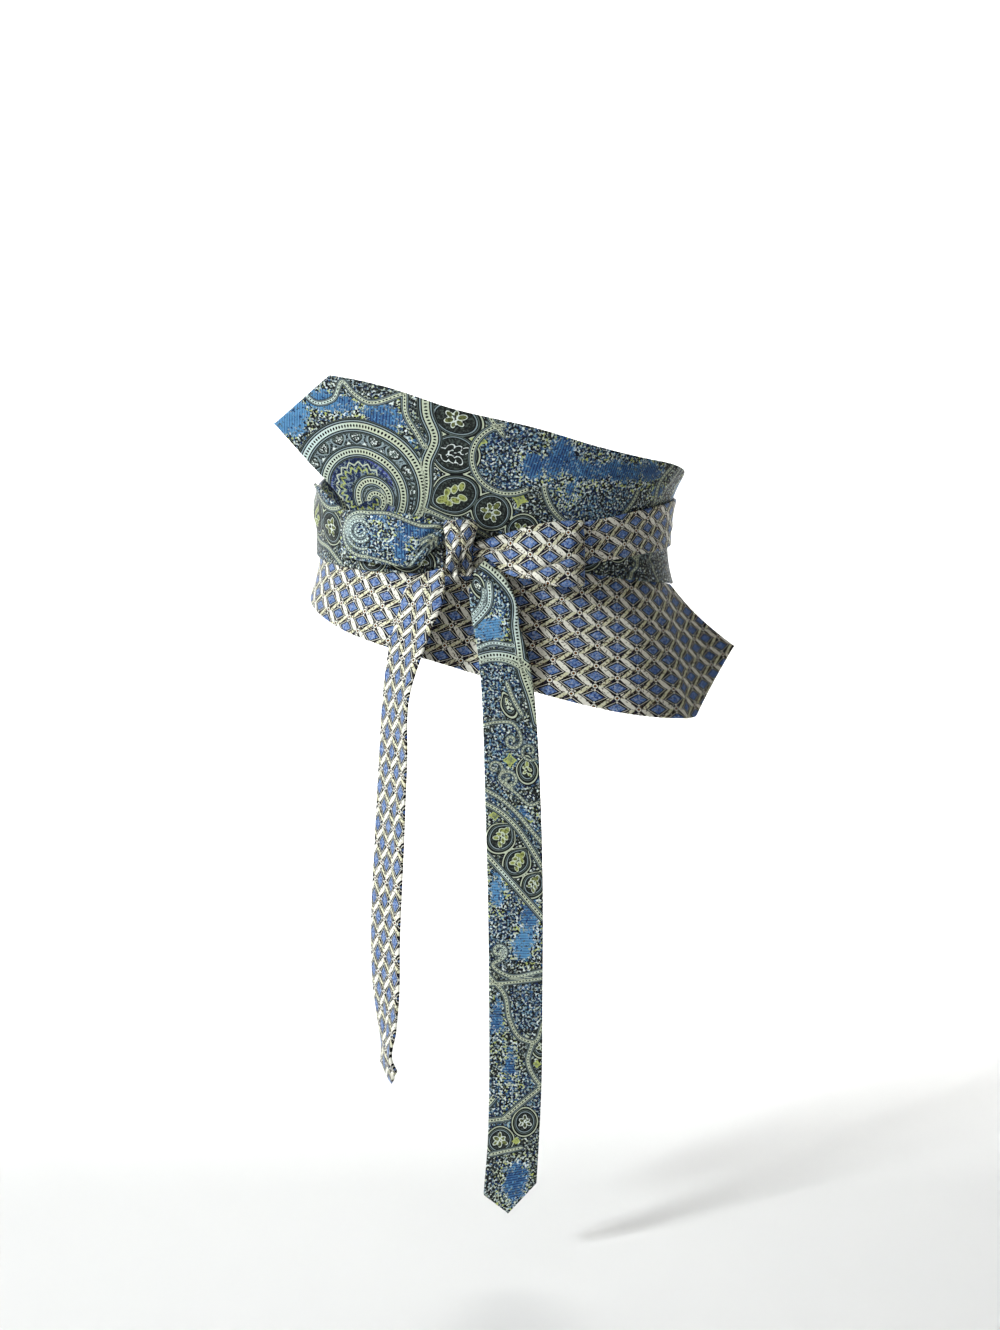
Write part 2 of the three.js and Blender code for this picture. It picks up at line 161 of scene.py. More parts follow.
# the upper tie's strap at the wearer's right: from low to high across it leans in
LEAN_IN = dict(angle=262, length=75, low=28, high=46, depth=10)
TUCK = dict(at=106, length=60, depth=1.8)  # the lower tie's edge behind the upper tie's
UPPER_WRAP_END, LOWER_WRAP_START = 338, -364  # the angles where the ties reach the knot

# The loops' paths, from the knot out to the turn and back behind. Out is the distance
# in front of the figure.
LEFT_LOOP = table(
    "x out z width",
    (-32.4, 13.5, 18.5, 11),
    (-38.5, 16, 17.5, 18),
    (-48, 18.5, 14.2, 30),
    (-70, 22, 15.2, 34.5),
    (-87, 21.5, 16, 33),
    (-97, 17.5, 16, 31.5),
    (-99.8, 15, 15.8, 31),
    (-97, 12.6, 15.4, 31),
    (-84, 10.2, 14, 30),
    (-60, 8.6, 12.5, 28),
    (-42, 8.6, 9, 25),
    (-32.4, 8.4, 6.5, 22),
)
RIGHT_LOOP = table(
    "x out z width",
    (-12.8, 12.5, 8, 8),
    (-4, 13.6, 8.4, 13),
    (8, 14.8, 5.5, 25),
    (24, 17.5, 6, 34),
    (42, 19.2, 5.2, 41),
    (54.5, 17.2, 5, 42),
    (57.8, 13.4, 5, 42),
    (54.5, 9.6, 5, 42),
    (38, 8.4, 5, 38),
    (14, 7.9, 5, 28),
    (-12.8, 7.7, 5, 14),
)
# the tails' two long edges, from the knot down
LEFT_TAIL = table(
    "left_x left_y left_z right_x right_y right_z",
    (-43, -104.5, -6.5, -31.5, -107.5, -3.5),
    (-56, -103, -16.5, -31.2, -111, -16),
    (-60, -102, -28, -33, -118, -27),
    (-64, -101.5, -42, -38.8, -123.5, -41),
    (-67.7, -101, -57, -45.2, -127, -57),
    (-71, -101, -81, -52.8, -130, -81),
    (-74.4, -101.5, -127, -55.3, -130.5, -127),
    (-77.5, -103, -180, -57.6, -131.5, -180),
    (-80.5, -104.5, -246, -60.7, -132.5, -246),
    (-79.7, -105, -279, -61.3, -134, -279),
    (-76.9, -104.5, -302, -63.5, -136, -302),
    (-74.2, -104, -325, -66, -137, -322),
    (-75, -104.5, -333, -63, -136, -329),
)
RIGHT_TAIL = table(
    "left_x left_y left_z right_x right_y right_z",
    (-12.6, -107, -6, -5.5, -108.5, 1.2),
    (-12.7, -108, -10, -1, -109.8, -2.4),
    (-15.4, -109, -15.5, 5.5, -111.5, -7.4),
    (-15.4, -109.6, -22, 11, -113.5, -16),
    (-14.4, -110, -32, 15.2, -114.3, -27),
    (-12.5, -110, -44, 16.5, -114, -39),
    (-10, -111, -59, 21.5, -113.5, -56),
    (-8, -112, -79, 25.5, -113.5, -77),
    (-7, -113, -99, 27.5, -115, -98),
    (-5.5, -115, -153, 30.5, -117, -153),
    (-4, -117, -206, 32, -118, -206),
    (-3, -118.5, -286, 32, -119, -286),
    (-3, -119, -347, 31.5, -119, -347),
    (-4, -119, -384, 30, -119, -382),
    (-6.8, -119, -420, 28.4, -119, -412),
)
TAIL_TIP = dict(left=12, right=17)  # how long each tail's point is
# the knot's level sections from the top down, with its back and front out from the figure
KNOT = table(
    "z x half_width back front",
    (27, -21, 9.4, 10, 14.5),
    (24.5, -21, 10.8, 8, 19.5),
    (18, -21.3, 10, 7, 23),
    (8, -22, 8.2, 7, 23),
    (0, -22.1, 8.5, 7, 25),
    (-6, -22, 9, 7.5, 24.5),
    (-9, -22, 8.2, 9.5, 20),
)

# Folds, placed on the cloth: where the middle is, which way it runs (degrees from the
# cloth's length), half length, width and height. A trough's height is negative.
FOLD_COLUMNS = "s v angle length width height"
UPPER_FOLDS = table(
    FOLD_COLUMNS,
    (-8, 9, 12, 26, 3.2, 1.1),
    (-2, 14, 20, 30, 3.0, -0.9),
    (-14, 20, 62, 20, 3.5, 0.7),
    (-40, 12, 150, 24, 4.0, 0.8),
    (-48, 22, 140, 30, 5.0, -0.6),
    (-118, 46, 35, 34, 7.0, 0.7),
    (-98, 84, -4, 40, 6.0, -0.5),
    (30, 62, -6, 60, 9.0, 0.6),
    (84, 52, 14, 46, 6.0, 0.8),
    (100, 38, 10, 40, 4.5, -0.7),
    (104, 10, 9, 30, 2.6, 1.3),
    (92, 5, 6, 28, 2.0, -1.0),
    (122, 16, 14, 26, 2.4, -1.1),
    (132, 26, 22, 30, 3.2, 1.0),
    (120, 70, 60, 30, 5.0, 0.8),
    (106, 1, 0, 58, 3.0, 0.9),
    (200, 34, 6, 60, 6.0, 0.8),
    (260, 20, -8, 70, 5.0, 0.9),
    (330, 38, 5, 60, 5.0, -0.7),
    (430, 16, 3, 60, 4.0, 0.7),
    (560, 26, 3, 60, 3.5, 0.8),
    (600, 14, -4, 50, 3.0, -0.7),
    (650, 20, 2, 34, 3.0, 1.0),
)
LOWER_FOLDS = table(
    FOLD_COLUMNS,
    (-36, -14, 100, 26, 5.0, 0.9),
    (-24, -20, 112, 30, 5.0, -0.7),
    (-70, -24, 8, 50, 7.0, 0.6),
    (-110, -30, 20, 40, 8.0, -0.6),
    (-90, -55, 10, 46, 6.0, 0.6),
    (20, -40, 95, 36, 9.0, 0.5),
    (60, -14, 4, 50, 6.0, 0.6),
    (96, -50, 84, 44, 9.0, 0.8),
    (118, -44, 80, 46, 6.0, -0.9),
    (106, 1, 0, 58, 3.6, -1.5),
    (150, -48, 92, 40, 8.0, 0.8),
    (-220, -26, -6, 60, 6.0, 0.8),
    (-300, -18, 5, 70, 5.0, -0.6),
    (-380, -28, 4, 60, 5.0, 0.8),
    (-560, -20, 2, 50, 3.0, 0.8),
    (-600, -12, -4, 50, 2.6, -0.6),
    (-640, -20, 3, 46, 2.6, 1.0),
    (-664, -8, -6, 44, 2.4, -0.8),
    (-700, -14, 4, 40, 2.4, 1.0),
)
LEFT_LOOP_FOLDS = table(
    FOLD_COLUMNS,
    (7, -1.5, 12, 15, 1.2, -1.8),
    (8, -4.6, 6, 18, 1.6, 1.3),
    (10, 2.4, 20, 15, 1.6, 1.4),
    (15, 6.5, 30, 15, 1.3, -1.3),
    (20, -11, 6, 26, 3.4, 0.9),
    (28, -3, 14, 30, 3.6, -0.8),
    (40, 5, 18, 28, 5.0, 0.8),
    (54, 12, 40, 22, 4.0, -0.7),
    (62, -6, 80, 18, 4.0, 0.6),
    (124, 4, 4, 26, 3.0, 0.9),
    (134, -6, 6, 20, 2.0, -0.9),
)
RIGHT_LOOP_FOLDS = table(
    FOLD_COLUMNS,
    (8, 0.5, 6, 20, 1.2, -1.8),
    (9, 3.2, 16, 20, 1.6, 1.2),
    (9, -3.0, -14, 20, 1.6, 1.3),
    (16, -6.5, -24, 18, 1.4, -1.1),
    (48.5, -7.6, 22, 22, 1.3, -2.1),
    (50, -11, 20, 24, 2.8, 1.4),
    (34, 9, 12, 26, 4.0, 0.7),
    (40, 2, 8, 26, 4.0, -0.5),
    (64, 10, 60, 14, 3.0, 0.9),
    (122, 0, 2, 24, 2.0, 0.8),
)
LEFT_TAIL_FOLDS = table(
    FOLD_COLUMNS,
    (10, 4, 80, 16, 3.0, -1.2),
    (22, 10, 16, 30, 3.0, 1.4),
    (30, -4, 14, 40, 3.5, -1.0),
    (60, 12, 4, 60, 2.6, 0.9),
    (120, 8, -2, 70, 3.0, -0.7),
    (190, 11, 1, 80, 2.6, 0.9),
    (250, -8, -2, 60, 4.0, 0.6),
    (312, 0, 8, 34, 3.0, -1.2),
    (326, 7, 20, 22, 2.6, 1.2),
)
RIGHT_TAIL_FOLDS = table(
    FOLD_COLUMNS,
    (16, 4, 24, 26, 2.4, 1.2),
    (20, -4, 18, 30, 2.6, -1.1),
    (40, 9, 12, 34, 2.6, 0.9),
    (64, -8, -8, 40, 4.0, -0.6),
    (120, 6, 3, 50, 5.0, 0.5),
    (210, -5, -3, 60, 5.0, 0.5),
    (300, 5, 2, 60, 5.0, -0.4),
    (380, -2, 12, 40, 5.0, 0.5),
)

# ---- curves and the figure -----------------------------------------------------------


def smooth(xs, ys, x):
    """Cubic curve through the rows, each row's slope the mean of the rises beside it,
    weighted to the nearer one; level past the ends."""
    slope = np.gradient(ys, xs)
    x = np.clip(x, xs[0], xs[-1])
    i = np.clip(np.searchsorted(xs, x) - 1, 0, len(xs) - 2)
    span = xs[i + 1] - xs[i]
    t = (x - xs[i]) / span
    return (
        (2 * t**3 - 3 * t**2 + 1) * ys[i]
        + (t**3 - 2 * t**2 + t) * span * slope[i]
        + (-2 * t**3 + 3 * t**2) * ys[i + 1]
        + (t**3 - t**2) * span * slope[i + 1]
    )


def ease(xs, ys, x):
    """Level stretches with an even change between them, t squared times 3 less 2 t."""
    i = np.clip(np.searchsorted(xs, x) - 1, 0, len(xs) - 2)
    t = np.clip((x - xs[i]) / (xs[i + 1] - xs[i]), 0, 1)
    return ys[i] + (ys[i + 1] - ys[i]) * t * t * (3 - 2 * t)


def chords(points):
    """Length along a table of points, measured straight from row to row."""
    return np.concatenate([[0], np.cumsum(np.linalg.norm(np.diff(points, axis=0), axis=1))])


def hump(x):
    """1 at 0 and 0 past 1 either way: one less x squared, squared."""
    return np.clip(1 - x * x, 0, 1) ** 2


def unit(vectors):
    return vectors / np.linalg.norm(vectors, axis=-1, keepdims=True)


def section(z):
    """Half width and half depth of the figure's level section at a height."""
    return [smooth(FIGURE["z"], FIGURE[half], z) for half in ("half_width", "half_depth")]


def on_figure(angle, z, lift):
    """Point on the level section, a superellipse in polar form, moved out by lift along
    the section's normal."""
    n = FIGURE_POWER
    a, b = section(z)
    side, front = np.sin(np.radians(angle)), np.cos(np.radians(angle))
    r = (np.abs(side / a) ** n + np.abs(front / b) ** n) ** (-1 / n)
    x, y = r * side, -r * front
    nx = np.sign(x) * np.abs(x / a) ** (n - 1) / a
    ny = np.sign(y) * np.abs(y / b) ** (n - 1) / b
    size = np.hypot(nx, ny)
    return np.stack([x + nx / size * lift, y + ny / size * lift, z + 0 * x], -1)


def in_front(x, out, z):
    """Point a distance out in front of the figure's section."""
    n = FIGURE_POWER
    a, b = section(z)
    y = -b * (1 - np.minimum(1, np.abs(x / a)) ** n) ** (1 / n)
    return np.stack([x + 0 * y, y - out, z + 0 * y], -1)


ANGLE_STEP = 0.5  # degrees between the points that a route is measured by


class Route:
    """A strip's way round the figure: along in millimetres from the front, across up."""

    def __init__(self, rows):
        self.rows = rows
        self.angles = np.arange(rows["angle"][0], rows["angle"][-1] + ANGLE_STEP / 2, ANGLE_STEP)
        lengths = chords(
            on_figure(self.angles, self.read("z", self.angles), self.read("lift", self.angles))
        )
        self.lengths = lengths - np.interp(0, self.angles, lengths)

    def read(self, column, angle):
        curve = ease if column == "lift" else smooth
        return curve(self.rows["angle"], self.rows[column], angle)

    def length_at(self, angle):
        return float(np.interp(angle, self.angles, self.lengths))

    def angle_at(self, along):
        """The angle at a length, run on straight past the ends."""
        first = (self.lengths[0] - along).clip(0) / (self.lengths[1] - self.lengths[0])
        last = (along - self.lengths[-1]).clip(0) / (self.lengths[-1] - self.lengths[-2])
        return np.interp(along, self.lengths, self.angles) + ANGLE_STEP * (last - first)

    def width_at(self, along):
        return self.read("width", self.angle_at(np.asarray(along, float)))

    def point(self, along, across):
        """Straight across the strip, so a row of points is square to its edge: the edge's
        direction, from a reach ahead and behind, turned by a right angle. The figure's
        own millimetres for each degree round and each millimetre up come from a small
        turn and a small rise."""
        reach, turn, lift_by = 4, 0.1, 0.5
        angle = self.angle_at(along)
        z, lift = self.read("z", angle), self.read("lift", angle)
        ahead, behind = self.angle_at(along + reach), self.angle_at(along - reach)
        turned = on_figure(angle + turn, z, lift) - on_figure(angle - turn, z, lift)
        raised = on_figure(angle, z + lift_by, lift) - on_figure(angle, z - lift_by, lift)
        per_degree = np.linalg.norm(turned, axis=-1) / (2 * turn)
        per_rise = np.linalg.norm(raised, axis=-1) / (2 * lift_by)
        round_ = (ahead - behind) * per_degree
        rise = (self.read("z", ahead) - self.read("z", behind)) * per_rise
        size = np.hypot(round_, rise)
        return on_figure(
            angle - rise / size * across / per_degree, z + round_ / size * across / per_rise, lift
        )

    def free(self, along, across, side, blade):
        """As point, but past the line where it leaves the figure the cloth runs on in an
        arc: ahead by sin(c d)/c and outward by (1 - cos(c d))/c at d past the line."""
        back = 1.5  # how far before the line its direction is taken from
        along, across = np.broadcast_arrays(np.asarray(along, float), np.asarray(across, float))
        edge = blade["leaves"] + blade["lean"] * across
        past = np.maximum(0, (along - edge) * side)
        on = np.where(past > 0, edge, along)
        start = self.point(on, across)
        ahead = unit(start - self.point(on - back * side, across))
        over = unit(self.point(on, across + 1) - self.point(on, across - 1))
        outward = unit(np.cross(ahead, over) * side)
        c = blade["curl"]
        forward, off = np.sin(c * past) / c, (1 - np.cos(c * past)) / c
        return start + ahead * forward[..., None] + outward * off[..., None]


# ---- cloth ---------------------------------------------------------------------------


TAKE_UP = 1.7  # how much cloth a crease hides, for each millimetre of its depth
SHALLOW = 0.6  # a trough no deeper than this hides none
GIVE = 14  # how far from a crease the cloth is still moved


def folds(rows):
    """Relief and shift from a table of folds. Each is a soft ridge, or a trough where its
    height is negative, hump-shaped along its length and bell-shaped across. A trough also
    hides a little cloth, so the pattern on its two sides is moved apart."""

    def relief(s, v):
        shape = np.broadcast(s, v).shape
        total, moved_s, moved_v = np.zeros(shape), np.zeros(shape), np.zeros(shape)
        for at, across, angle, length, width, height in zip(*rows.values()):
            c, k = math.cos(math.radians(angle)), math.sin(math.radians(angle))
            fade = hump(((s - at) * c + (v - across) * k) / length)
            over = -(s - at) * k + (v - across) * c
            total = total + height * fade * np.exp(-((over / width) ** 2))
            hidden = TAKE_UP * max(0, -height - SHALLOW) * fade
            hidden = hidden * np.tanh(over / width * 2) * np.exp(-((over / GIVE) ** 2))
            moved_s, moved_v = moved_s - hidden * k, moved_v + hidden * c
        return total, moved_s, moved_v

    return relief


def normals(surface, s, v):
    """Outward normal: the step along crossed with the step across."""
    reach = 0.4
    run = surface(s + reach, v) - surface(s - reach, v)
    rise = surface(s, v + reach) - surface(s, v - reach)
    return unit(np.cross(run, rise))


def ring_template(columns, inner_columns):
    """The points of one ring round a flattened tie. Each is (edge, inset, share, height,
    face): edge is -1 or 1 on a turned edge, where inset goes in from it by 1 - cos and
    height by sin of an even turn, and 0 on the flat, where share runs from edge to edge."""
    turn = np.linspace(0, math.pi / 2, EDGE_STEPS + 1)
    rounding = list(zip(1 - np.cos(turn), np.sin(turn)))
    low = [(-1, inset, 0, height) for inset, height in rounding]
    high = [(1, inset, 1, height) for inset, height in reversed(rounding)]
    flat = [(0, 0, share, 1) for share in np.linspace(0, 1, columns + 1)[1:-1]]
    back = [(0, 0, share, 1) for share in np.linspace(1, 0, inner_columns + 1)[1:-1]]
    outer = [(*point, 1) for point in low + flat + high]
    inner = [(*point, -1) for point in high[::-1][1:] + back + low[::-1][:-1]]
    return np.array(outer + inner, float)


def cloth_band(surface, along, span, columns, inner_columns, relief):
    """A pressed tie as a closed shell. Its middle is surface(s, v); each ring runs over the outer
    face, round the turned edge and back over the inner one, half the cloth's thickness off the
    middle, plus the relief of its folds. Returns the points, ring by ring, and each one's place on
    the cloth: s, v, and on the inner face how far it is from the sewn middle line, or FAR on the
    outer one. The material darkens that line: partly the dark sewn join, partly painted shade in
    its groove."""
    ring = ring_template(columns, inner_columns)
    edge, inset, share, height, face = (column[None, :] for column in ring.T)
    low, high = (np.asarray(side, float)[:, None] for side in span(along))
    width = high - low
    rim = np.minimum(ROUND, width / 4)
    v = np.where(edge < 0, low + inset * rim, np.where(edge > 0, high - inset * rim, 0))
    v = np.where(edge == 0, low + rim + share * (width - 2 * rim), v)
    s = along[:, None] + 0 * v
    across = (v - low) / width * 2 - 1
    off_seam = v - (low + high) / 2
    full = np.minimum(1, width / FULL_FROM)
    half = CLOTH / 2 * np.minimum(1, width / THICK_FROM) * height
    half = half + PUFF / 2 * (1 - across**2) * full
    groove = SEAM_DEPTH * np.exp(-((off_seam / SEAM_HALF) ** 2)) * full
    half = half - np.where(face < 0, groove, 0)
    lifted, moved_s, moved_v = relief(s, v)
    shift = half * face + lifted
    points = surface(s, v) + normals(surface, s, v) * shift[..., None]
    # distance from the sewn middle of the inner face, which the material darkens: the dark join
    # with painted shade in its groove
    seam = np.where(face > 0, FAR, np.abs(off_seam))
    return points, np.stack([s + moved_s, v + moved_v, seam], -1)


def band_faces(rows, count):
    """Quads between neighbouring rings, and one polygon over each end."""
    i, j = np.meshgrid(np.arange(rows - 1), np.arange(count), indexing="ij")
    k = (j + 1) % count
    quads = np.stack([i * count + j, (i + 1) * count + j, (i + 1) * count + k, i * count + k], -1)
    first = list(range(count))
    last = [(rows - 1) * count + n for n in reversed(range(count))]
    return quads.reshape(-1, 4).tolist() + [first, last]


def link(name, data):
    """An object of this data, in the scene."""
    thing = bpy.data.objects.new(name, data)
    bpy.context.scene.collection.objects.link(thing)
    return thing


def make_piece(name, points, faces, slot, nodes, material, **attributes):
    """A mesh at the origin with its place in its points, riding on the belt's one body.
    Each attribute is a vector at every point, which the material reads."""
    mesh = bpy.data.meshes.new(name)
    mesh.from_pydata((points.reshape(-1, 3) * MM).tolist(), [], faces)
    for key, values in attributes.items():
        layer = mesh.attributes.new(key, "FLOAT_VECTOR", "POINT")
        layer.data.foreach_set("vector", values.astype(np.float32).ravel())
    mesh.shade_smooth()
    mesh.materials.append(material)
    mesh.update()
    piece = link(name, mesh)
    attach(piece, "root")
    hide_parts(*nodes)
    return piece


# ---- the paisley layout --------------------------------------------------------------
#
# Motifs are placed on the flat cloth: s along it and v across, in millimetres. From them
# come smooth fields at every point, and the material turns those into bands and figures.


SCROLL_EYE = 0.2  # a scroll's eye over its outer radius


def scroll(at, across, radius, start, turn, *tail):
    """Points of a scroll: its radius grows evenly with the turn, in degrees, from the eye
    to the given radius, and then it runs on through the tail's points."""
    share = np.linspace(0, 1, 12)
    angle = np.radians(start + turn * share)
    reach = radius * (SCROLL_EYE + (1 - SCROLL_EYE) * share)
    return (*zip(at + reach * np.cos(angle), across + reach * np.sin(angle)), *tail)


PAISLEY_BLADE = dict(
    repeat=(300, -162),  # its length along the tie, and where the first one starts
    # dotted bands along arcs, from start to stop in degrees
    arcs=table(
        "s v radius start stop half_width",
        (-93, 19, 42, -25, 205, 2.0),
        (-91.5, 16.5, 28, -30, 200, 1.8),
        (-84, 15, 11.5, -10, 215, 1.7),
        (-82, 13, 5.5, -60, 190, 1.4),
        (-6, 60, 22, 112, 318, 1.0),
        (53, 66, 38, 206, 352, 1.0),
        (108, 30, 16, 40, 250, 1.2),
        (106, 28, 8, 0, 300, 1.2),
    ),
    # dotted bands along lines of points
    lines=(
        (1.9, ((-60, 92), (-57, 76), (-50, 62), (-52.5, 46), (-50.5, 30), (-53, 10), (-60, 0))),
        (0.9, ((-70, 86), (-68, 74), (-60, 62), (-55, 55))),
        (0.9, ((-136, 80), (-124, 72), (-113, 76), (-107, 88), (-100, 82), (-87, 77), (-71, 86))),
        (0.9, ((-50, 16), (-30, 12), (-12, 10), (6, 2))),
        (0.9, ((-27, 92), (-24, 84), (-14, 74))),
        (1.0, ((96, 0), (104, 16), (98, 34), (112, 50), (110, 70), (120, 84))),
        (0.8, ((126, 0), (118, 20), (128, 40), (122, 60), (132, 82))),
    ),
    # fans, each with its count of palmettes all the way round
    fans=table("s v radius count", (-93, 19, 42, 17), (108, 30, 14, 11)),
    # where the colours are paler and bluer: partly the print's paler ground, partly painted sheen
    # where the silk is lit
    sheen_and_pale_patches=table("s v radius", (-146, 60, 62)),
    # round cells, each with a flower: point draws one end out into a leaf
    cells=table(
        "s v along across tilt point petals yellow",
        (-41, 77, 14.5, 10.5, -14, 0.1, 6, 0.3),
        (-38, 55, 14, 12.5, 0, 0.35, 7, 0.0),
        (-33, 29, 16, 12.5, 35, 0.5, 7, 0.9),
        (-8, 25, 12, 11.5, 0, 0.1, 6, 0.4),
        (14, 18, 10, 10, 0, 0.1, 5, 0.6),
        (34, 8, 10, 9, 0, 0.2, 6, 0.4),
        (60, 12, 12, 10, 20, 0.3, 7, 0.7),
        (84, 20, 9, 8, 0, 0.2, 5, 0.2),
    ),
    # four-pointed stars, rounds of misty ground, and ellipses of blue
    stars=table("s v size", (-26, 67, 6.5), (7, 37, 6.5), (-52, 92, 5), (45, 21, 5)),
    clouds=table("s v radius", (-6, 60, 22), (53, 66, 38)),
    blues=table(
        "s v along across",
        (-144, 63, 15, 17),
        (-116, 74, 20, 8),
        (-80, 69, 14, 10),
        (-62, 52, 4, 7),
        (22, 70, 9, 18),
        (9, 60, 9, 9),
        (42, 65, 24, 7),
        (68, 69, 26, 7),
        (94, 73, 16, 7),
        (38, 50, 5, 7),
        (112, 62, 7, 5),
    ),
)
PAISLEY_TAIL = dict(
    repeat=(600, -100),  # longer than the tail
    arcs=table(
        "s v radius start stop half_width",
        (88, -6, 29, 90, 262, 1.7),
        (86, -7, 24, 95, 262, 0.8),
        (341, -34, 23, -60, 60, 1.4),
        (341, -34, 18, -60, 60, 0.8),
    ),
    lines=(
        (1.7, ((0, 3), (10, 9), (24, 15), (45, 12.5), (70, 11), (92, 16), (104, 18))),
        (1.2, ((38, -17), (31, -8), (23, -1), (13, 2))),
        (0.8, ((33, -17), (26, -9), (16, -3))),
        (0.8, ((54, -17), (51, -6), (54, 7))),
        (0.8, ((78, 0), (88, 3), (98, 8))),
        (0.6, scroll(115, 1, 5.5, 90, 330, (104, 2), (103, -8), (105, -18))),
        (0.5, scroll(122, 12, 6.5, 0, 400)),
        (0.5, scroll(133, -11, 5.5, 60, -380)),
        (0.6, scroll(141, -2, 6.5, 200, 400, (150, 3), (157, 12), (155, 17))),
        (1.0, ((156, -18), (162, -8), (172, 2), (184, 10), (198, 18))),
        (0.8, ((147, -18), (153, -8), (162, 2), (172, 10), (182, 18))),
        (1.1, ((190, -18), (206, -4), (232, 18))),
        (0.8, scroll(254, -11, 5.0, 90, -400, (263, -15), (270, -6), (267, 18))),
        (0.8, ((276, -17), (275, -4), (272, 18))),
        (0.9, ((270, -18), (284, -7), (300, -4), (313, 4), (315, 12), (302, 18))),
        (0.9, ((316, 11), (328, 8), (340, 13), (346, 18))),
        (1.0, ((368, -8), (358, 3), (346, 17))),
        (1.0, ((369, -18), (367, -4))),
        (0.9, ((391, -14), (388, 5))),
    ),
    fans=table("s v radius count"),
    # where the colours are paler and bluer: partly print, partly painted sheen
    sheen_and_pale_patches=table("s v radius", (36, -5, 38), (212, -12, 18), (250, 8, 26)),
    cells=table(
        "s v along across tilt point petals yellow",
        (12, -6, 8, 4, 0, 0.2, 5, 0.2),
        (92, 0, 7, 4, 20, 0.5, 5, 0.6),
        (134, 10, 8, 6, 0, 0.4, 5, 0.9),
        (178, -8, 11, 8.5, -40, 0.75, 7, 0.8),
        (194, 2, 10.5, 8, -35, 0.75, 7, 0.9),
        (209, 12, 9, 7, -30, 0.75, 7, 0.5),
        (370, 7, 9, 7.5, 0, 0.1, 6, 0.2),
        (382, -9, 8.5, 8.5, 0, 0.1, 6, 0.4),
        (318, 17, 7, 6, 0, 0.2, 5, 0.5),
    ),
    stars=table("s v size", (128, -1, 6), (164, -12, 5), (383, 2, 4), (330, 14, 4)),
    clouds=table(
        "s v radius",
        (26, -4, 22),
        (82, -8, 18),
        (126, 2, 22),
        (166, 4, 9),
        (176, 13, 8),
        (154, -11, 8),
        (238, 2, 24),
        (292, 6, 16),
        (300, -10, 12),
        (356, -2, 22),
    ),
    blues=table(
        "s v along across",
        (42, -5, 9, 11),
        (163, 4, 5, 9),
        (212, -12, 12, 6),
        (232, 9, 12, 7),
        (250, 5, 11, 8),
        (300, -13, 14, 4.5),
        (334, -4, 18, 4.5),
        (412, 3, 16, 9),
    ),
)
PAISLEY_LOOP = dict(
    repeat=(600, -100),  # longer than the loop
    arcs=table(
        "s v radius start stop half_width",
        (55, -3, 3.2, -60, 220, 0.5),
        (55, -3, 6.6, -150, 150, 0.6),
        (54, -2, 10.2, -105, 115, 0.45),
        (53, -1, 14.2, -110, 100, 0.7),
        (13, 8, 8.5, 120, 300, 0.6),
        (13, 8, 5.4, 120, 300, 0.5),
        (98, 2, 12, 0, 360, 1.2),
    ),
    lines=(
        (0.6, ((50, -15.2), (36, -15.5), (20, -11), (2, -5))),
        (0.5, ((50, 13), (38, 15), (30, 17))),
        (0.6, ((24, 17), (16, 10), (4, 4))),
        (1.2, ((76, 20), (82, 4), (78, -20))),
        (1.2, ((116, 20), (122, 2), (142, -8))),
    ),
    fans=table("s v radius count", (98, 2, 12, 13)),
    # where the colours are paler and bluer: partly print, partly painted sheen
    sheen_and_pale_patches=table("s v radius", (57, -2, 16), (16, 12, 10)),
    cells=table("s v along across tilt point petals yellow", (126, 10, 8, 7, 0, 0.2, 6, 0.3)),
    stars=table("s v size", (86, -12, 4)),
    clouds=table("s v radius", (46, -2, 24), (22, 2, 22)),
    blues=table(
        "s v along across",
        (18, -7, 18, 6),
        (29, 4, 5.5, 13),
        (45, -12.5, 9, 2.4),
        (66, 3, 4, 7),
        (112, -10, 10, 7),
    ),
)


def arc_bands(s, v, arcs):
    """Over each arc's half width, how far outside it a point is, and how far round."""
    for at, across, radius, start, stop, half in zip(*arcs.values()):
        x, y = s - at, v - across
        turn = (np.degrees(np.arctan2(y, x)) - start) % 360
        away = (np.hypot(x, y) - radius) / half
        yield np.where(turn <= stop - start, away, FAR), np.radians(turn) * radius


def line_bands(s, v, lines):
    """The same for smooth lines through a few points, by the nearest of close samples."""
    spacing = 0.6
    for half, points in lines:
        points = np.array(points, float)
        lengths = chords(points)
        t = np.arange(0, lengths[-1], spacing)
        path = np.stack([smooth(lengths, points[:, k], t) for k in (0, 1)], -1)
        away, run = np.full(s.shape, FAR), np.zeros(s.shape)
        reach = 4 * half + 2
        near = (s > path[:, 0].min() - reach) & (s < path[:, 0].max() + reach)
        x, y = s[near][:, None] - path[:, 0], v[near][:, None] - path[:, 1]
        distance = np.hypot(x, y)
        pick = distance.argmin(1)
        ahead = np.gradient(path, axis=0)[pick]
        row = np.arange(len(pick))
        side = np.sign(ahead[:, 0] * y[row, pick] - ahead[:, 1] * x[row, pick])
        away[near], run[near] = side * distance[row, pick] / half, t[pick]
        yield away, run


def inside(s, v, at, across, along, wide, tilt=0.0, point=0.0):
    """How far inside an ellipse a point is, in millimetres, and its place from the
    ellipse's middle. Point narrows the end towards lower s into a leaf's tip."""
    turn = math.radians(tilt)
    x = (s - at) * math.cos(turn) + (v - across) * math.sin(turn)
    y = -(s - at) * math.sin(turn) + (v - across) * math.cos(turn)
    narrow = 1 - point * np.clip(-x / along, 0, 1) ** 2
    return (1 - np.hypot(x / along, y / (wide * narrow))) * min(along, wide), x, y


ROUND_CELL = 0.25  # a cell pointed less than this has a ring of petals
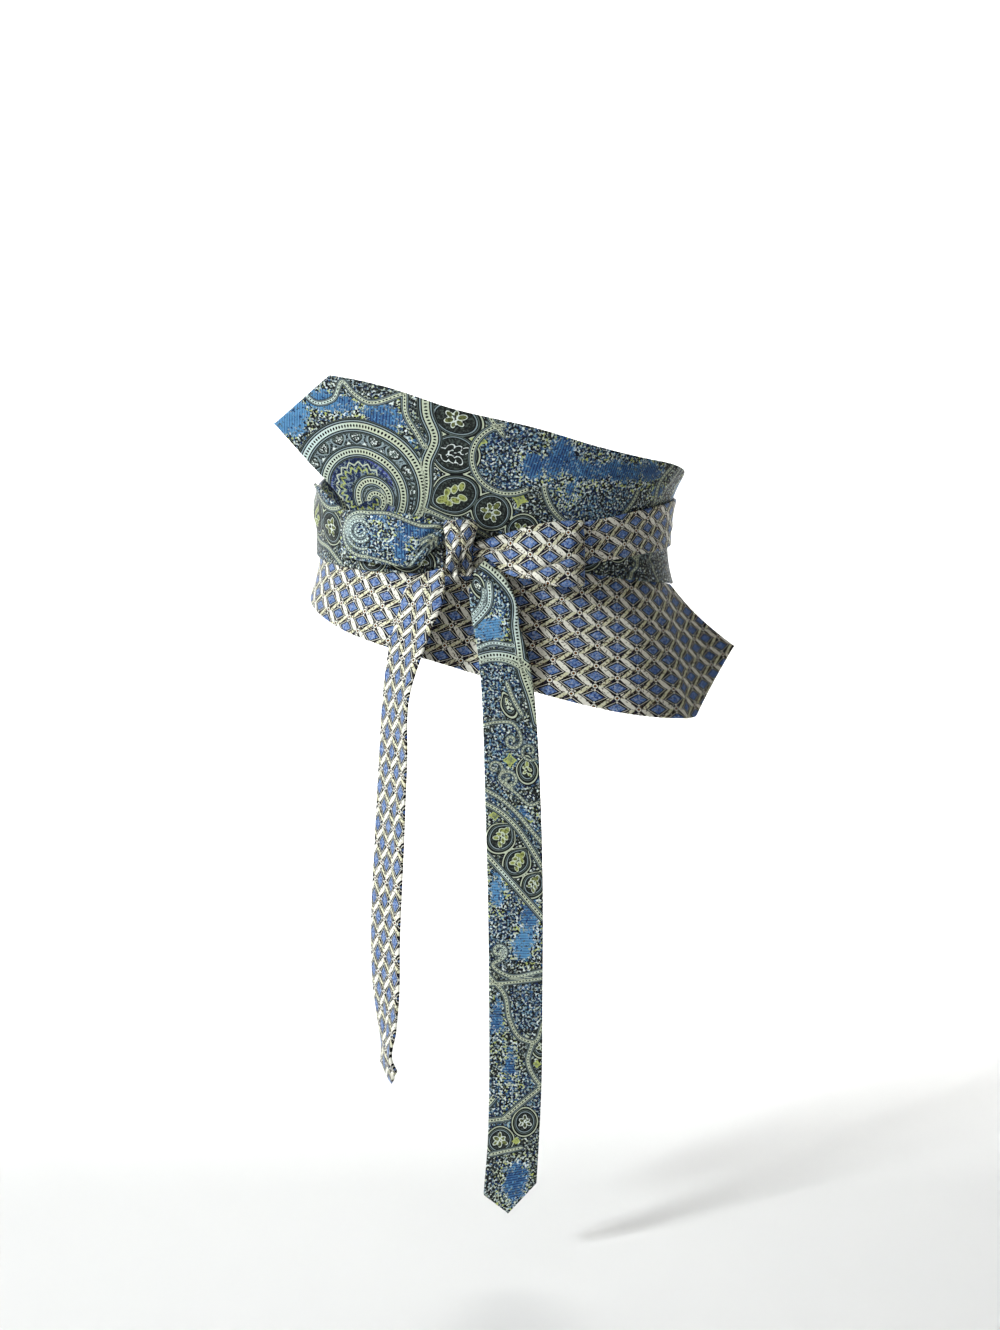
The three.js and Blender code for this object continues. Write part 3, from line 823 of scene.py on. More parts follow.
# shares of a cell's lesser half: how far out a petal is, its half length, a leaf's and the
# end leaf's, with how uneven petals are
PETAL_OUT, PETAL_LONG, LEAF_LONG, END_LEAF = 0.36, 0.21, 0.22, 0.3
UNEVEN_OUT, UNEVEN_LONG = 0.06, 0.04
STEM = (-0.475, 0.9025)  # where a pointed cell's stem starts, and how far it runs
SLIM = 0.6  # a petal's or leaf's width over its length
STAR_POWER = 0.62  # under 1, so a star's sides curve in


def flower(s, v, at, across, along, wide, tilt, point, petals):
    """How far inside a cell's flower a point is, in millimetres. A round cell has a ring
    of petals of uneven length round its middle, and a pointed one has pairs of leaves up
    a stem, with one at its end. Petals and leaves are small ellipses."""
    size = min(along, wide)
    turn = math.radians(tilt)
    deepest = np.full(s.shape, -FAR)
    for i in range(int(petals)):
        if point < ROUND_CELL:
            angle = 2 * math.pi * i / petals + 0.4 * point + tilt
            reach = size * (PETAL_OUT + UNEVEN_OUT * math.sin(3.0 * i + at))
            x, y, lean = reach * math.cos(angle), reach * math.sin(angle), math.degrees(angle)
            length = size * (PETAL_LONG + UNEVEN_LONG * math.cos(2.0 * i + at))
        elif i == 0:
            x, y, lean, length = STEM[0] * along, 0, 0, size * END_LEAF
        else:
            side = 1 - 2 * (i % 2)
            x = (STEM[0] + STEM[1] * i / (petals - 1)) * along
            y, lean, length = side * wide * 0.27, side * 50, size * LEAF_LONG
        middle_s = at + x * math.cos(turn) - y * math.sin(turn)
        middle_v = across + x * math.sin(turn) + y * math.cos(turn)
        leaf = inside(s, v, middle_s, middle_v, length, length * SLIM, tilt + lean)[0]
        deepest = np.maximum(deepest, leaf)
    return deepest


def in_star(x, y, size):
    """How far inside a star a point is: its size less a superellipse's distance."""
    far = (np.abs(x / size) ** STAR_POWER + np.abs(y / size) ** STAR_POWER) ** (1 / STAR_POWER)
    return (1 - far) * size


def deepest_of(s, depths):
    """The greatest of some depths at each point, or far outside where there is none."""
    deepest = np.full(s.shape, -FAR)
    for depth in depths:
        deepest = np.maximum(deepest, depth)
    return deepest


def paisley_fields(s, v, layout):
    """Four vectors at every point: band (signed distance over half width, length along, and the
    same distance unsigned), fan (radius over the fan's, share of a palmette round, how much paler:
    partly print, partly painted sheen), cell (depth inside, depth inside its petals, how yellow)
    and ground (depth in blue, cloud and star)."""
    every, first = layout["repeat"]
    s = (s - first) % every + first

    def places(kind):
        return zip(*layout[kind].values())

    band, run = np.full(s.shape, FAR), np.zeros(s.shape)
    for away, length in (*arc_bands(s, v, layout["arcs"]), *line_bands(s, v, layout["lines"])):
        closer = np.abs(away) < np.abs(band)
        band, run = np.where(closer, away, band), np.where(closer, length, run)

    fan, sweep = np.full(s.shape, float(NEAR)), np.zeros(s.shape)
    for at, across, radius, count in places("fans"):
        far = np.hypot(s - at, v - across) / radius
        turn = np.arctan2(v - across, s - at) / (2 * math.pi) * count
        fan, sweep = np.where(far < fan, far, fan), np.where(far < fan, turn, sweep)
    # how much paler: partly print, partly painted sheen where the silk is lit
    pale_and_sheen = np.zeros(s.shape)
    for at, across, radius in places("sheen_and_pale_patches"):
        pale_and_sheen = np.maximum(pale_and_sheen, hump(np.hypot(s - at, v - across) / radius))

    rim, petal, yellow = np.full(s.shape, -FAR), np.full(s.shape, -FAR), np.zeros(s.shape)
    for at, across, along, wide, tilt, point, petals, tint in places("cells"):
        depth = inside(s, v, at, across, along, wide, tilt, point)[0]
        deeper = depth > rim
        rim = np.where(deeper, depth, rim)
        petal = np.where(deeper, flower(s, v, at, across, along, wide, tilt, point, petals), petal)
        yellow = np.where(deeper, tint, yellow)

    stars = (in_star(s - at, v - across, size) for at, across, size in places("stars"))
    star = deepest_of(s, stars)
    rounds = (radius - np.hypot(s - at, v - across) for at, across, radius in places("clouds"))
    cloud = deepest_of(s, rounds)
    blue = deepest_of(s, (inside(s, v, *ellipse)[0] for ellipse in places("blues")))
    return dict(
        band=np.stack([np.clip(band, -NEAR, NEAR), run, np.minimum(np.abs(band), NEAR)], -1),
        fan=np.stack([fan, sweep, pale_and_sheen], -1),
        cell=np.stack([np.maximum(rim, -NEAR), np.maximum(petal, -NEAR), yellow], -1),
        ground=np.stack(
            [np.maximum(blue, -DEEP), np.maximum(cloud, -DEEP), np.maximum(star, -NEAR)], -1
        ),
    )


# ---- node arithmetic -----------------------------------------------------------------


class Term:
    """A value in a node tree. Terms and numbers join with + - * / into Math nodes."""

    def __init__(self, tree, socket):
        self.tree = tree
        self.socket = socket

    def math(self, operation, *others, clamp=False):
        node = self.tree.nodes.new("ShaderNodeMath")
        node.operation = operation
        node.use_clamp = clamp
        for slot, value in zip(node.inputs, (self, *others)):
            feed(self.tree, slot, value)
        return Term(self.tree, node.outputs[0])

    def __add__(self, other):
        return self.math("ADD", other)

    def __sub__(self, other):
        return self.math("SUBTRACT", other)

    def __mul__(self, other):
        return self.math("MULTIPLY", other)

    def __truediv__(self, other):
        return self.math("DIVIDE", other)

    def __neg__(self):
        return self.math("MULTIPLY", -1.0)

    def __abs__(self):
        return self.math("ABSOLUTE")

    def less(self, other):
        """Other minus this."""
        return (-self) + other

    def wrap(self, low, high):
        return self.math("WRAP", high, low)

    def fraction(self):
        return self.math("FRACT")

    def root(self):
        return self.math("SQRT")

    def sine(self):
        return self.math("SINE")

    def plus_capped(self, other):
        """The sum, kept from 0 to 1."""
        return self.math("ADD", other, clamp=True)

    def least(self, other):
        return self.math("MINIMUM", other)

    def most(self, other):
        return self.math("MAXIMUM", other)

    def above(self, edge, soft=0.1):
        """0 below the edge and 1 above it, over a soft width."""
        return ((self - edge) / soft).plus_capped(0.5)

    def between(self, low, high, soft=0.1):
        return self.above(low, soft) * self.above(high, soft).less(1.0)


def feed(tree, slot, value):
    """Links a term or a socket to a slot, or sets the slot's own value."""
    if isinstance(value, Term):
        value = value.socket
    if isinstance(value, bpy.types.NodeSocket):
        tree.links.new(value, slot)
    elif isinstance(value, tuple):
        slot.default_value = (*value, 1)[: len(slot.default_value)]
    else:
        slot.default_value = value


def attribute(tree, name):
    """A vector attribute's three parts as terms."""
    node = tree.nodes.new("ShaderNodeAttribute")
    node.attribute_name = name
    parts = tree.nodes.new("ShaderNodeSeparateXYZ")
    tree.links.new(node.outputs["Vector"], parts.inputs[0])
    return [Term(tree, socket) for socket in parts.outputs]


def pair(tree, x, y):
    node = tree.nodes.new("ShaderNodeCombineXYZ")
    feed(tree, node.inputs[0], x)
    feed(tree, node.inputs[1], y)
    return node.outputs[0]


def specks(tree, place, size):
    """Small cells of about this size: how far a point is from its cell's middle, and two
    chances from 0 to 1 that are the cell's own."""
    node = tree.nodes.new("ShaderNodeTexVoronoi")
    node.voronoi_dimensions = "2D"
    node.inputs["Scale"].default_value = 1 / size
    tree.links.new(place, node.inputs["Vector"])
    split = tree.nodes.new("ShaderNodeSeparateColor")
    tree.links.new(node.outputs["Color"], split.inputs[0])
    sockets = (node.outputs["Distance"], split.outputs[0], split.outputs[1])
    return [Term(tree, socket) for socket in sockets]


def clouding(tree, place, size, detail=2.0):
    """Soft noise about 0, from about -0.3 to 0.3."""
    node = tree.nodes.new("ShaderNodeTexNoise")
    node.noise_dimensions = "2D"
    node.inputs["Scale"].default_value = 1 / size
    node.inputs["Detail"].default_value = detail
    tree.links.new(place, node.inputs["Vector"])
    return Term(tree, node.outputs[0]) - 0.5


def mix(tree, mask, below, above):
    """Above where the mask is 1, below where it is 0."""
    node = tree.nodes.new("ShaderNodeMix")
    node.data_type = "RGBA"
    feed(tree, node.inputs[0], mask)
    feed(tree, node.inputs[6], below)
    feed(tree, node.inputs[7], above)
    return node.outputs[2]


def steps(tree, value, *stops):
    """A colour for each step of a value from 0 to 1, with no blending between."""
    node = tree.nodes.new("ShaderNodeValToRGB")
    ramp = node.color_ramp
    ramp.interpolation = "CONSTANT"
    while len(ramp.elements) < len(stops):
        ramp.elements.new(1.0)
    for element, (position, colour) in zip(ramp.elements, stops):
        element.position = position
        element.color = (*colour, 1)
    feed(tree, node.inputs[0], value)
    return node.outputs[0]


def hexa(code):
    """The linear colour of a web colour code."""
    parts = [int(code[i : i + 2], 16) / 255 for i in (0, 2, 4)]
    return tuple(p / 12.92 if p <= 0.04045 else ((p + 0.055) / 1.055) ** 2.4 for p in parts)


INK = hexa("0f1113")
OLIVE = hexa("272c29")
MOSS = hexa("54605b")
GREY = hexa("8fa1a6")
CREAM = hexa("c3ccb4")
PALE = hexa("dfe9e6")
YELLOW = hexa("b4bf6a")
SKY = hexa("629ac8")
BLUE = hexa("38608f")
NAVY = hexa("1c2c55")
VIOLET = hexa("4a56a2")
STEEL = hexa("3c5a7c")
HAZE = hexa("7c9fb0")
ICE = hexa("bcd8de")
FROST = hexa("cfe2df")


# ---- materials -----------------------------------------------------------------------

TWILL_PITCH = 0.62  # of the twill's ribs
BLUE_RIB = 1.7  # from one navy rib of the blue to the next
BEAD = 2.1  # from one bead of a dotted band to the next
SILK = {"Sheen Weight": 0.03, "Sheen Roughness": 0.4, "Specular IOR Level": 0.12}


def new_material(name):
    material = bpy.data.materials.new(name)
    material.use_nodes = True
    return material, material.node_tree


def make_twill():
    """Node group: fine twill ribs on the cloth at u, v in millimetres, as a height and a small
    change of shade, which is the ribs' height painted in as shade plus the slubs' own tone. Each is
    a sine of the distance across the ribs, or along them for the weft, over the pitch, and slubs
    bend the ribs a little."""
    tree = bpy.data.node_groups.new("twill", "ShaderNodeTree")
    for name in ("U", "V", "Pitch"):
        tree.interface.new_socket(name, in_out="INPUT", socket_type="NodeSocketFloat")
    for name in ("Height", "Shade"):
        tree.interface.new_socket(name, in_out="OUTPUT", socket_type="NodeSocketFloat")
    inputs = tree.nodes.new("NodeGroupInput")
    outputs = tree.nodes.new("NodeGroupOutput")
    u, v, pitch = (Term(tree, inputs.outputs[i]) for i in range(3))
    slub = clouding(tree, pair(tree, u * 0.25, v), 1.2, 1.0)
    phase = (u + v * 0.8) / pitch + slub * 0.8
    rib = (phase * math.tau).sine()
    weft = ((u - v * 0.15) / pitch * 8.2).sine()
    height = rib * 0.7 + weft * 0.3
    tree.links.new(height.socket, outputs.inputs["Height"])
    # the shade: the ribs' height painted in as shade, with the slubs' own tone
    tree.links.new((height * 0.5 + slub).socket, outputs.inputs["Shade"])
    return tree


TWILL = make_twill()


def finish_silk(tree, colour, relief, u, v, seam):
    """Silk's gloss under a printed or woven colour: twill in the bump, and in the colour as painted
    shade of its ribs with the slubs' own tone; and a dark line where the last input is near 0:
    along the sewn middle of a tie's inner face, the dark join with painted shade in its groove, and
    in the knot's pleat troughs, painted shade."""
    # painted shade: dark along the sewn middle of an inner face, over the dark join, and in the
    # knot's pleat troughs
    colour = mix(tree, seam.above(0.35, 0.25).less(1.0) * 0.7, colour, INK)
    shader = tree.nodes["Principled BSDF"]
    twill = tree.nodes.new("ShaderNodeGroup")
    twill.node_tree = TWILL
    feed(tree, twill.inputs["U"], u)
    feed(tree, twill.inputs["V"], v)
    twill.inputs["Pitch"].default_value = TWILL_PITCH
    shade = Term(tree, twill.outputs["Shade"])
    # the colour's value follows the twill's shade: painted shade of the ribs and the slubs' own
    # tone
    vary = tree.nodes.new("ShaderNodeHueSaturation")
    feed(tree, vary.inputs["Value"], shade * 0.24 + 1.0)
    tree.links.new(colour, vary.inputs["Color"])
    tree.links.new(vary.outputs[0], shader.inputs["Base Color"])
    feed(tree, shader.inputs["Roughness"], shade * 0.08 + 0.46)
    bump = tree.nodes.new("ShaderNodeBump")
    bump.inputs["Strength"].default_value = 0.35
    bump.inputs["Distance"].default_value = 0.2 * MM
    feed(tree, bump.inputs["Height"], Term(tree, twill.outputs["Height"]) * 0.5 + relief)
    tree.links.new(bump.outputs[0], shader.inputs["Normal"])
    for name, value in SILK.items():
        shader.inputs[name].default_value = value


class Weave:
    """The fine parts that the paisley's motifs share: specks, each with its distance from
    the middle and two chances, a slow and a fine drift, two grains, and two masks, of
    light threads that curl and of dark pits."""

    def __init__(self, tree, u, v):
        place = pair(tree, u, v)
        self.near, self.chance, self.other = specks(tree, place, 1.25)
        self.drift = clouding(tree, place, 7.0)
        self.fine = clouding(tree, place, 2.2)
        self.grain = clouding(tree, place, 1.5, 0.0)
        self.dark_grain = clouding(tree, pair(tree, v + 40.0, u), 1.6, 0.0)
        curl = (clouding(tree, place, 5.0, 1.5) * 36.0).sine()
        self.curls = (curl * 0.13 + self.grain + (self.chance - 0.5) * 0.1).above(0.045, 0.05)
        self.pits = self.dark_grain.above(0.06, 0.05)


def specked(tree, weave, dark, light, pitting):
    """Light curls on dark specks, pitted with ink."""
    colour = mix(tree, weave.curls, dark, light)
    return mix(tree, weave.pits * pitting, colour, INK)


def lay_ground(tree, weave, cloud, pale_and_sheen):
    """Olive and grey specks, and bluer and paler ones in the clouds."""
    chance, other = weave.chance, weave.other
    dark = steps(tree, chance, (0.0, INK), (0.3, OLIVE), (0.66, NAVY), (0.78, MOSS), (0.93, BLUE))
    light = steps(tree, other, (0.0, MOSS), (0.2, GREY), (0.52, CREAM), (0.72, PALE))
    ground = specked(tree, weave, dark, light, 0.85)
    dark = steps(tree, chance, (0.0, INK), (0.26, NAVY), (0.52, STEEL), (0.74, OLIVE), (0.88, BLUE))
    light = steps(tree, other, (0.0, GREY), (0.3, HAZE), (0.6, CREAM), (0.74, PALE))
    # icier light specks where paler: partly print, partly painted sheen
    light = mix(tree, pale_and_sheen * 0.5, light, ICE)
    mist = specked(tree, weave, dark, light, 0.75)
    return mix(tree, cloud.above(0.0, 0.4), ground, mist)


def lay_blue(tree, weave, colour, blue, pale_and_sheen, u):
    """Blue with navy ribs across the tie and a few stitches of other colours. Drifts move its edge,
    which frays into specks, and it is brighter where the cloth is paler: partly the print's paler
    blue, partly painted sheen where the silk is lit."""
    drift, fine, grain = weave.drift, weave.fine, weave.grain
    chance, other = weave.chance, weave.other
    broken = blue + drift * 9.0 + fine * 7.0 + grain * 5.0
    # brighter blue where paler: partly print, partly painted sheen
    bright = pale_and_sheen * 0.85 + drift * 1.2 + fine * 0.6
    rib = (u / BLUE_RIB).fraction().between(0.1, 0.5, 0.2)
    ribbed = mix(tree, bright.plus_capped(0.2), BLUE, SKY)
    ribbed = mix(tree, rib * (bright * -0.5 + 0.92), ribbed, NAVY)
    stitch = (weave.dark_grain + drift * 0.5 + (other - 0.5) * 0.12).above(0.13, 0.05) * 0.9
    stitches = steps(tree, chance, (0.0, NAVY), (0.34, MOSS), (0.6, GREY), (0.8, SKY))
    ribbed = mix(tree, stitch, ribbed, stitches)
    colour = mix(tree, broken.above(0.0, 0.6), colour, ribbed)
    edge = broken.between(-3.0, 2.2, 1.0) * (grain + (other - 0.5) * 0.2).above(0.0, 0.06)
    stops = ((0.0, INK), (0.26, CREAM), (0.48, GREY), (0.66, YELLOW), (0.8, PALE))
    frayed = steps(tree, chance, *stops)
    return mix(tree, edge, colour, frayed)


def lay_fans(tree, weave, colour, far, sweep):
    """A fan in rings, by the share of its radius: an eye, violet between scalloped lines,
    pointed teeth, and round the rim palmettes, each an ellipse with a paler heart. Swing
    is 0 on a palmette's middle line and a half between two of them."""
    near, chance, other = weave.near, weave.chance, weave.other
    swing = abs(sweep.fraction() - 0.5)
    eye = ((0.0, INK), (0.08, CREAM), (0.13, INK), (0.17, NAVY), (0.49, VIOLET))
    rings = steps(tree, far, *eye, (0.6, INK), (0.72, OLIVE), (0.8, INK))
    rings = mix(tree, (far + swing * 0.16).between(0.34, 0.385, 0.01), rings, YELLOW)
    rings = mix(tree, weave.curls * far.above(0.7, 0.02) * 0.55, rings, GREY)
    dusted = steps(tree, other, (0.0, INK), (0.5, GREY))
    rings = mix(tree, (near + chance * 0.5).above(0.62, 0.1) * 0.7, rings, dusted)
    rings = mix(tree, (far + swing * 0.05).between(0.575, 0.6, 0.01), rings, GREY)
    rings = mix(tree, (far + swing * 0.12).between(0.43, 0.455, 0.01), rings, CREAM)
    teeth = (far - swing * 0.3).above(0.61, 0.01).less(1.0) * far.above(0.715, 0.01)
    rings = mix(tree, teeth, rings, PALE)
    rise = (far - 0.835) * 8.2
    leaf = (rise * rise).less(1.0) * 0.4 - swing
    leaves = steps(tree, chance, (0.0, INK), (0.4, OLIVE), (0.7, MOSS))
    rings = mix(tree, leaf.above(0.0, 0.04), rings, leaves)
    rings = mix(tree, leaf.between(-0.03, 0.05, 0.03), rings, GREY)
    heart = (rise * rise * 2.6).less(1.0) * 0.24 - swing
    speckled = (near + chance * 0.4).above(0.5, 0.1).less(1.0)
    rings = mix(tree, heart.above(0.0, 0.05) * speckled, rings, PALE)
    return mix(tree, far.above(1.0, 0.01).less(1.0), colour, rings)


def lay_cells(tree, weave, colour, rim, petal, yellow):
    """A cell with lines round it, by the depth inside its rim, and its flower with an
    outline, filled with yellow by its share."""
    outer = ((0.0, INK), (0.05, CREAM), (0.09, INK), (0.15, MOSS))
    inner = ((0.18, INK), (0.21, GREY), (0.24, INK), (0.28, OLIVE))
    lines = steps(tree, (rim + 2.0) / 16.0, *outer, *inner)
    middle = rim.above(2.6, 0.2)
    lines = mix(tree, middle * weave.curls * 0.6, lines, MOSS)
    lines = mix(tree, middle * weave.pits * 0.8, lines, INK)
    lines = mix(tree, petal.above(-0.8, 0.3) * 0.8, lines, INK)
    heart = mix(tree, weave.pits * 0.6, mix(tree, yellow * 0.8, OLIVE, YELLOW), INK)
    lines = mix(tree, petal.above(0.05, 0.15), lines, heart)
    outline = petal.between(-0.3, 0.08, 0.1) * (-weave.grain).above(-0.2, 0.05)
    lines = mix(tree, outline, lines, mix(tree, yellow * 0.5, PALE, YELLOW))
    return mix(tree, rim.above(-1.9, 0.2), colour, lines)


def lay_stars(tree, weave, colour, star):
    """Yellow stars with rough edges, flecked with moss in the middle."""
    rough = star + (weave.chance - 0.5) * 1.2
    colour = mix(tree, rough.above(0.0, 0.3), colour, YELLOW)
    return mix(tree, rough.above(1.6, 0.3), colour, mix(tree, weave.chance, YELLOW, MOSS))


def lay_bands(tree, colour, away, run, pale_and_sheen):
    """The dotted bands, by the distance over their half width: within 1 a cream row of
    beads on ink, and outside it fine lines to 2.5."""
    along = ((run / BEAD).fraction() - 0.5) * BEAD
    gap = (along * along + away * away * 1.4).above(0.4, 0.15)
    stops = ((0.0, CREAM), (0.27, INK), (0.44, GREY), (0.54, INK), (0.66, MOSS), (0.72, INK))
    thread = steps(tree, away / 3.2, *stops)
    # frostier bead cores where paler: partly print, partly painted sheen
    core = mix(tree, pale_and_sheen.math("MULTIPLY", 1.4, clamp=True), CREAM, FROST)
    thread = mix(tree, gap * away.above(1.0, 0.05).less(1.0), thread, core)
    thread = mix(tree, gap.less(1.0), thread, INK)
    return mix(tree, away.above(2.5, 0.1).less(1.0), colour, thread)


def make_paisley():
    """Woven paisley silk, from the ground up. A band's signed distance is smooth across
    it and jumps between two bands, where the unsigned one keeps it from crossing 0."""
    material, tree = new_material("paisley_silk")
    u, v, seam = attribute(tree, "cloth")
    blue, cloud, star = attribute(tree, "ground")
    far, sweep, pale_and_sheen = attribute(tree, "fan")
    rim, petal, yellow = attribute(tree, "cell")
    away, run, clear = attribute(tree, "band")
    away = abs(away).most(clear - 1.0)
    weave = Weave(tree, u, v)
    colour = lay_ground(tree, weave, cloud, pale_and_sheen)
    colour = lay_blue(tree, weave, colour, blue, pale_and_sheen, u)
    colour = lay_fans(tree, weave, colour, far, sweep)
    colour = lay_cells(tree, weave, colour, rim, petal, yellow)
    colour = lay_stars(tree, weave, colour, star)
    colour = lay_bands(tree, colour, away, run, pale_and_sheen)
    relief = away.above(1.0, 0.3).less(1.0) * 0.8 + weave.near * 0.5
    finish_silk(tree, colour, relief, u, v, seam)
    return material


COLUMN, DROP = 12.2, 13.2  # the diamonds' spacing along the tie and across it
ZIGZAG = 3.2  # how far the cream zigzag swings each way
HALF_LONG, HALF_TALL = 7.0, 4.5  # of a diamond, along the tie and across it
INKY, IVORY = hexa("12100f"), hexa("f5f3e6")


def lay_zigzag(tree, colour, strip, leaning, grain, other):
    """The cream zigzag with its dark edges, greener and dotted on its narrow side."""
    colour = mix(tree, strip.above(2.3, 0.12).less(1.0), colour, INKY)
    green = mix(tree, other.above(0.6, 0.2) * 0.5, hexa("dedcba"), IVORY)
    cream = mix(tree, leaning, green, IVORY)
    dotted = (grain - leaning * 0.12).above(0.1, 0.06) * 0.8
    cream = mix(tree, dotted, cream, hexa("5d5140"))
    return mix(tree, strip.above(1.5, 0.12).less(1.0), colour, cream)


def lay_diamonds(tree, colour, shape, near, chance, other, grain):
    """Blue diamonds, flecked light and dark, in a dark, a cream and a dark line. Shape is
    0 at a diamond's middle and 1 where its cream line ends."""
    shade = (grain * 1.6 + chance * 0.6).plus_capped(0.2)
    body = mix(tree, shade, hexa("2b4686"), hexa("7ba0d8"))
    flecks = mix(tree, other, hexa("141c48"), IVORY)
    body = mix(tree, (near + chance * 0.5).above(0.74, 0.1) * 0.4, body, flecks)
    rings = mix(tree, shape.above(0.7, 0.04).less(1.0), INKY, body)
    rings = mix(tree, shape.above(0.92, 0.03), rings, IVORY)
    rings = mix(tree, shape.above(1.0, 0.03), rings, INKY)
    return mix(tree, shape.above(1.16, 0.04).less(1.0), colour, rings)


def lay_beads(tree, colour, x, low):
    """A ring with a tan middle between two diamonds of a column, and a pip on each side of
    it, across the tie."""
    ring = (x * x + low * low).root()
    stops = ((0.0, hexa("8a5a34")), (0.24, INKY), (0.42, IVORY), (0.74, INKY))
    beads = steps(tree, ring / 2.0, *stops)
    colour = mix(tree, ring.above(1.85, 0.1).less(1.0), colour, beads)
    beyond = low - 2.6
    pip = (x * x + beyond * beyond).root()
    beads = steps(tree, pip, (0.0, INKY), (0.2, IVORY), (0.68, INKY))
    return mix(tree, pip.above(1.0, 0.08).less(1.0), colour, beads)


def make_diamond():
    """Printed silk. Diamonds stand in columns across the tie, each column half a step
    off the last. A cream zigzag runs down between columns, wider where it leans one way,
    and rings stand between a column's diamonds. x and y are the distance from the
    nearest diamond's middle, along and across."""
    material, tree = new_material("diamond_silk")
    u, v, seam = attribute(tree, "cloth")
    place = pair(tree, u, v)
    near, chance, other = specks(tree, place, 0.9)
    grain = clouding(tree, place, 1.3, 0.0)
    column = (u / COLUMN).math("ROUND")
    across = u - column * COLUMN
    up = (v + column * (DROP / 2)).wrap(-DROP / 2, DROP / 2)
    x, y = abs(across), abs(up)
    low = abs(y - DROP / 2)
    leaning = (across * up).above(0.0, 0.01)
    shape = (x / HALF_LONG + y / HALF_TALL).least(abs(x - COLUMN) / HALF_LONG + low / HALF_TALL)
    zig = abs(x - COLUMN / 2 - ZIGZAG + y * (4 * ZIGZAG / DROP))
    ground = ((0.0, INKY), (0.36, hexa("45392b")), (0.52, hexa("b0a083")), (0.66, IVORY))
    colour = steps(tree, chance, *ground, (0.8, hexa("2b2740")))
    colour = lay_zigzag(tree, colour, zig - leaning * 0.75, leaning, grain, other)
    colour = lay_diamonds(tree, colour, shape, near, chance, other, grain)
    colour = lay_beads(tree, colour, x, low)
    finish_silk(tree, colour, near * 0.2, u, v, seam)
    return material


# each with the name of its slot, which is passed along but nothing reads
PAISLEY = ("paisley_silk", make_paisley())
DIAMOND = ("diamond_silk", make_diamond())

# ---- the two ties --------------------------------------------------------------------

upper_route = Route(UPPER_EDGE)
lower_route = Route(LOWER_EDGE)


def upper_surface(s, v):
    """The upper tie. At the wearer's right side, where it passes above the lower tie's
    edge, its upper part leans in, by a hump along it and an even change across."""
    points = upper_route.free(s, v, -1, UPPER_BLADE)
    side = upper_route.length_at(LEAN_IN["angle"])
    heights, depths = np.array([LEAN_IN["low"], LEAN_IN["high"]]), np.array([0, LEAN_IN["depth"]])
    points[..., 0] += ease(heights, depths, v + 0 * s) * hump((s - side) / LEAN_IN["length"])
    return points


def lower_surface(s, v):
    return lower_route.free(s, v, 1, LOWER_BLADE)


def upper_span(s):
    """The upper tie's edges: a square point at the blade, then the full width."""
    width = upper_route.width_at(s)
    point = UPPER_BLADE["tip_across"] * width
    open_ = np.maximum(TIP, s - UPPER_BLADE["tip"])
    return np.maximum(SEAM_GAP / 2, point - open_), np.minimum(width, point + open_)


def lower_span(s):
    """The lower tie hangs from its route, so it runs down from the line where the two ties are
    sewn. On the wearer's left its edge is tucked a little way behind the upper tie."""
    width = lower_route.width_at(s)
    tucked = TUCK["depth"] * hump((s - TUCK["at"]) / TUCK["length"])
    point = -LOWER_BLADE["tip_across"] * width
    open_ = np.maximum(TIP, LOWER_BLADE["tip"] - s)
    return np.maximum(-width, point - open_), np.minimum(tucked - SEAM_GAP / 2, point + open_)


def spaced(*stretches):
    """Stations from stretches of (from, to, step)."""
    parts = [np.linspace(a, b, max(2, round((b - a) / step) + 1)) for a, b, step in stretches]
    return np.unique(np.concatenate(parts))


def make_strip(name, way, along, columns, creases, silk, layout=None, nodes=None, **sheet):
    """A stretch of tie along its way, a surface and a span of edges. Columns are the steps across
    its outer face and its inner one. The layout is where the paisley's motifs are. The rest is not
    used; the area between its edges is worked out and not kept."""
    surface, span = way
    slot, material = silk
    points, cloth = cloth_band(surface, along, span, *columns, folds(creases))
    fields = paisley_fields(cloth[..., 0], cloth[..., 1], layout) if layout else {}
    faces = band_faces(len(along), points.shape[1])
    piece = make_piece(name, points, faces, slot, nodes or (name,), material, cloth=cloth, **fields)
    low, high = span(along)
    float(np.trapz(high - low, along)) * MM * MM


def tie_nodes(name):
    return [f"{name}_{part}" for part in ("blade", "back", "wrap")]


def make_ties():
    tip, end = UPPER_BLADE["tip"], upper_route.length_at(UPPER_WRAP_END)
    make_strip(
        "upper_tie",
        (upper_surface, upper_span),
        spaced((tip, UPPER_BLADE_TO, UPPER_BLADE_STEP), (UPPER_BLADE_TO, end, BACK_STEP)),
        ACROSS["upper_tie"],
        UPPER_FOLDS,
        PAISLEY,
        PAISLEY_BLADE,
        tie_nodes("upper_tie"),
        flat=(FLAT_WIDTH["upper_tie"] * MM, (end - tip) * MM),
        held="draped",
        rests_on=["lower_tie"],
    )
    start, tip = lower_route.length_at(LOWER_WRAP_START), LOWER_BLADE["tip"]
    make_strip(
        "lower_tie",
        (lower_surface, lower_span),
        spaced((start, LOWER_BLADE_FROM, BACK_STEP), (LOWER_BLADE_FROM, tip, LOWER_BLADE_STEP)),
        ACROSS["lower_tie"],
        LOWER_FOLDS,
        DIAMOND,
        nodes=tie_nodes("lower_tie"),
        flat=(FLAT_WIDTH["lower_tie"] * MM, (tip - start) * MM),
        held="draped",
        rests_on=["upper_tie"],
    )


# ---- the bow -------------------------------------------------------------------------


PILLOW = 3.2  # how far a loop's outer layer falls back at its two edges
OUTER_FROM, OUTER_OVER = 10, 6  # how far out a loop's outer layer starts, and to be full


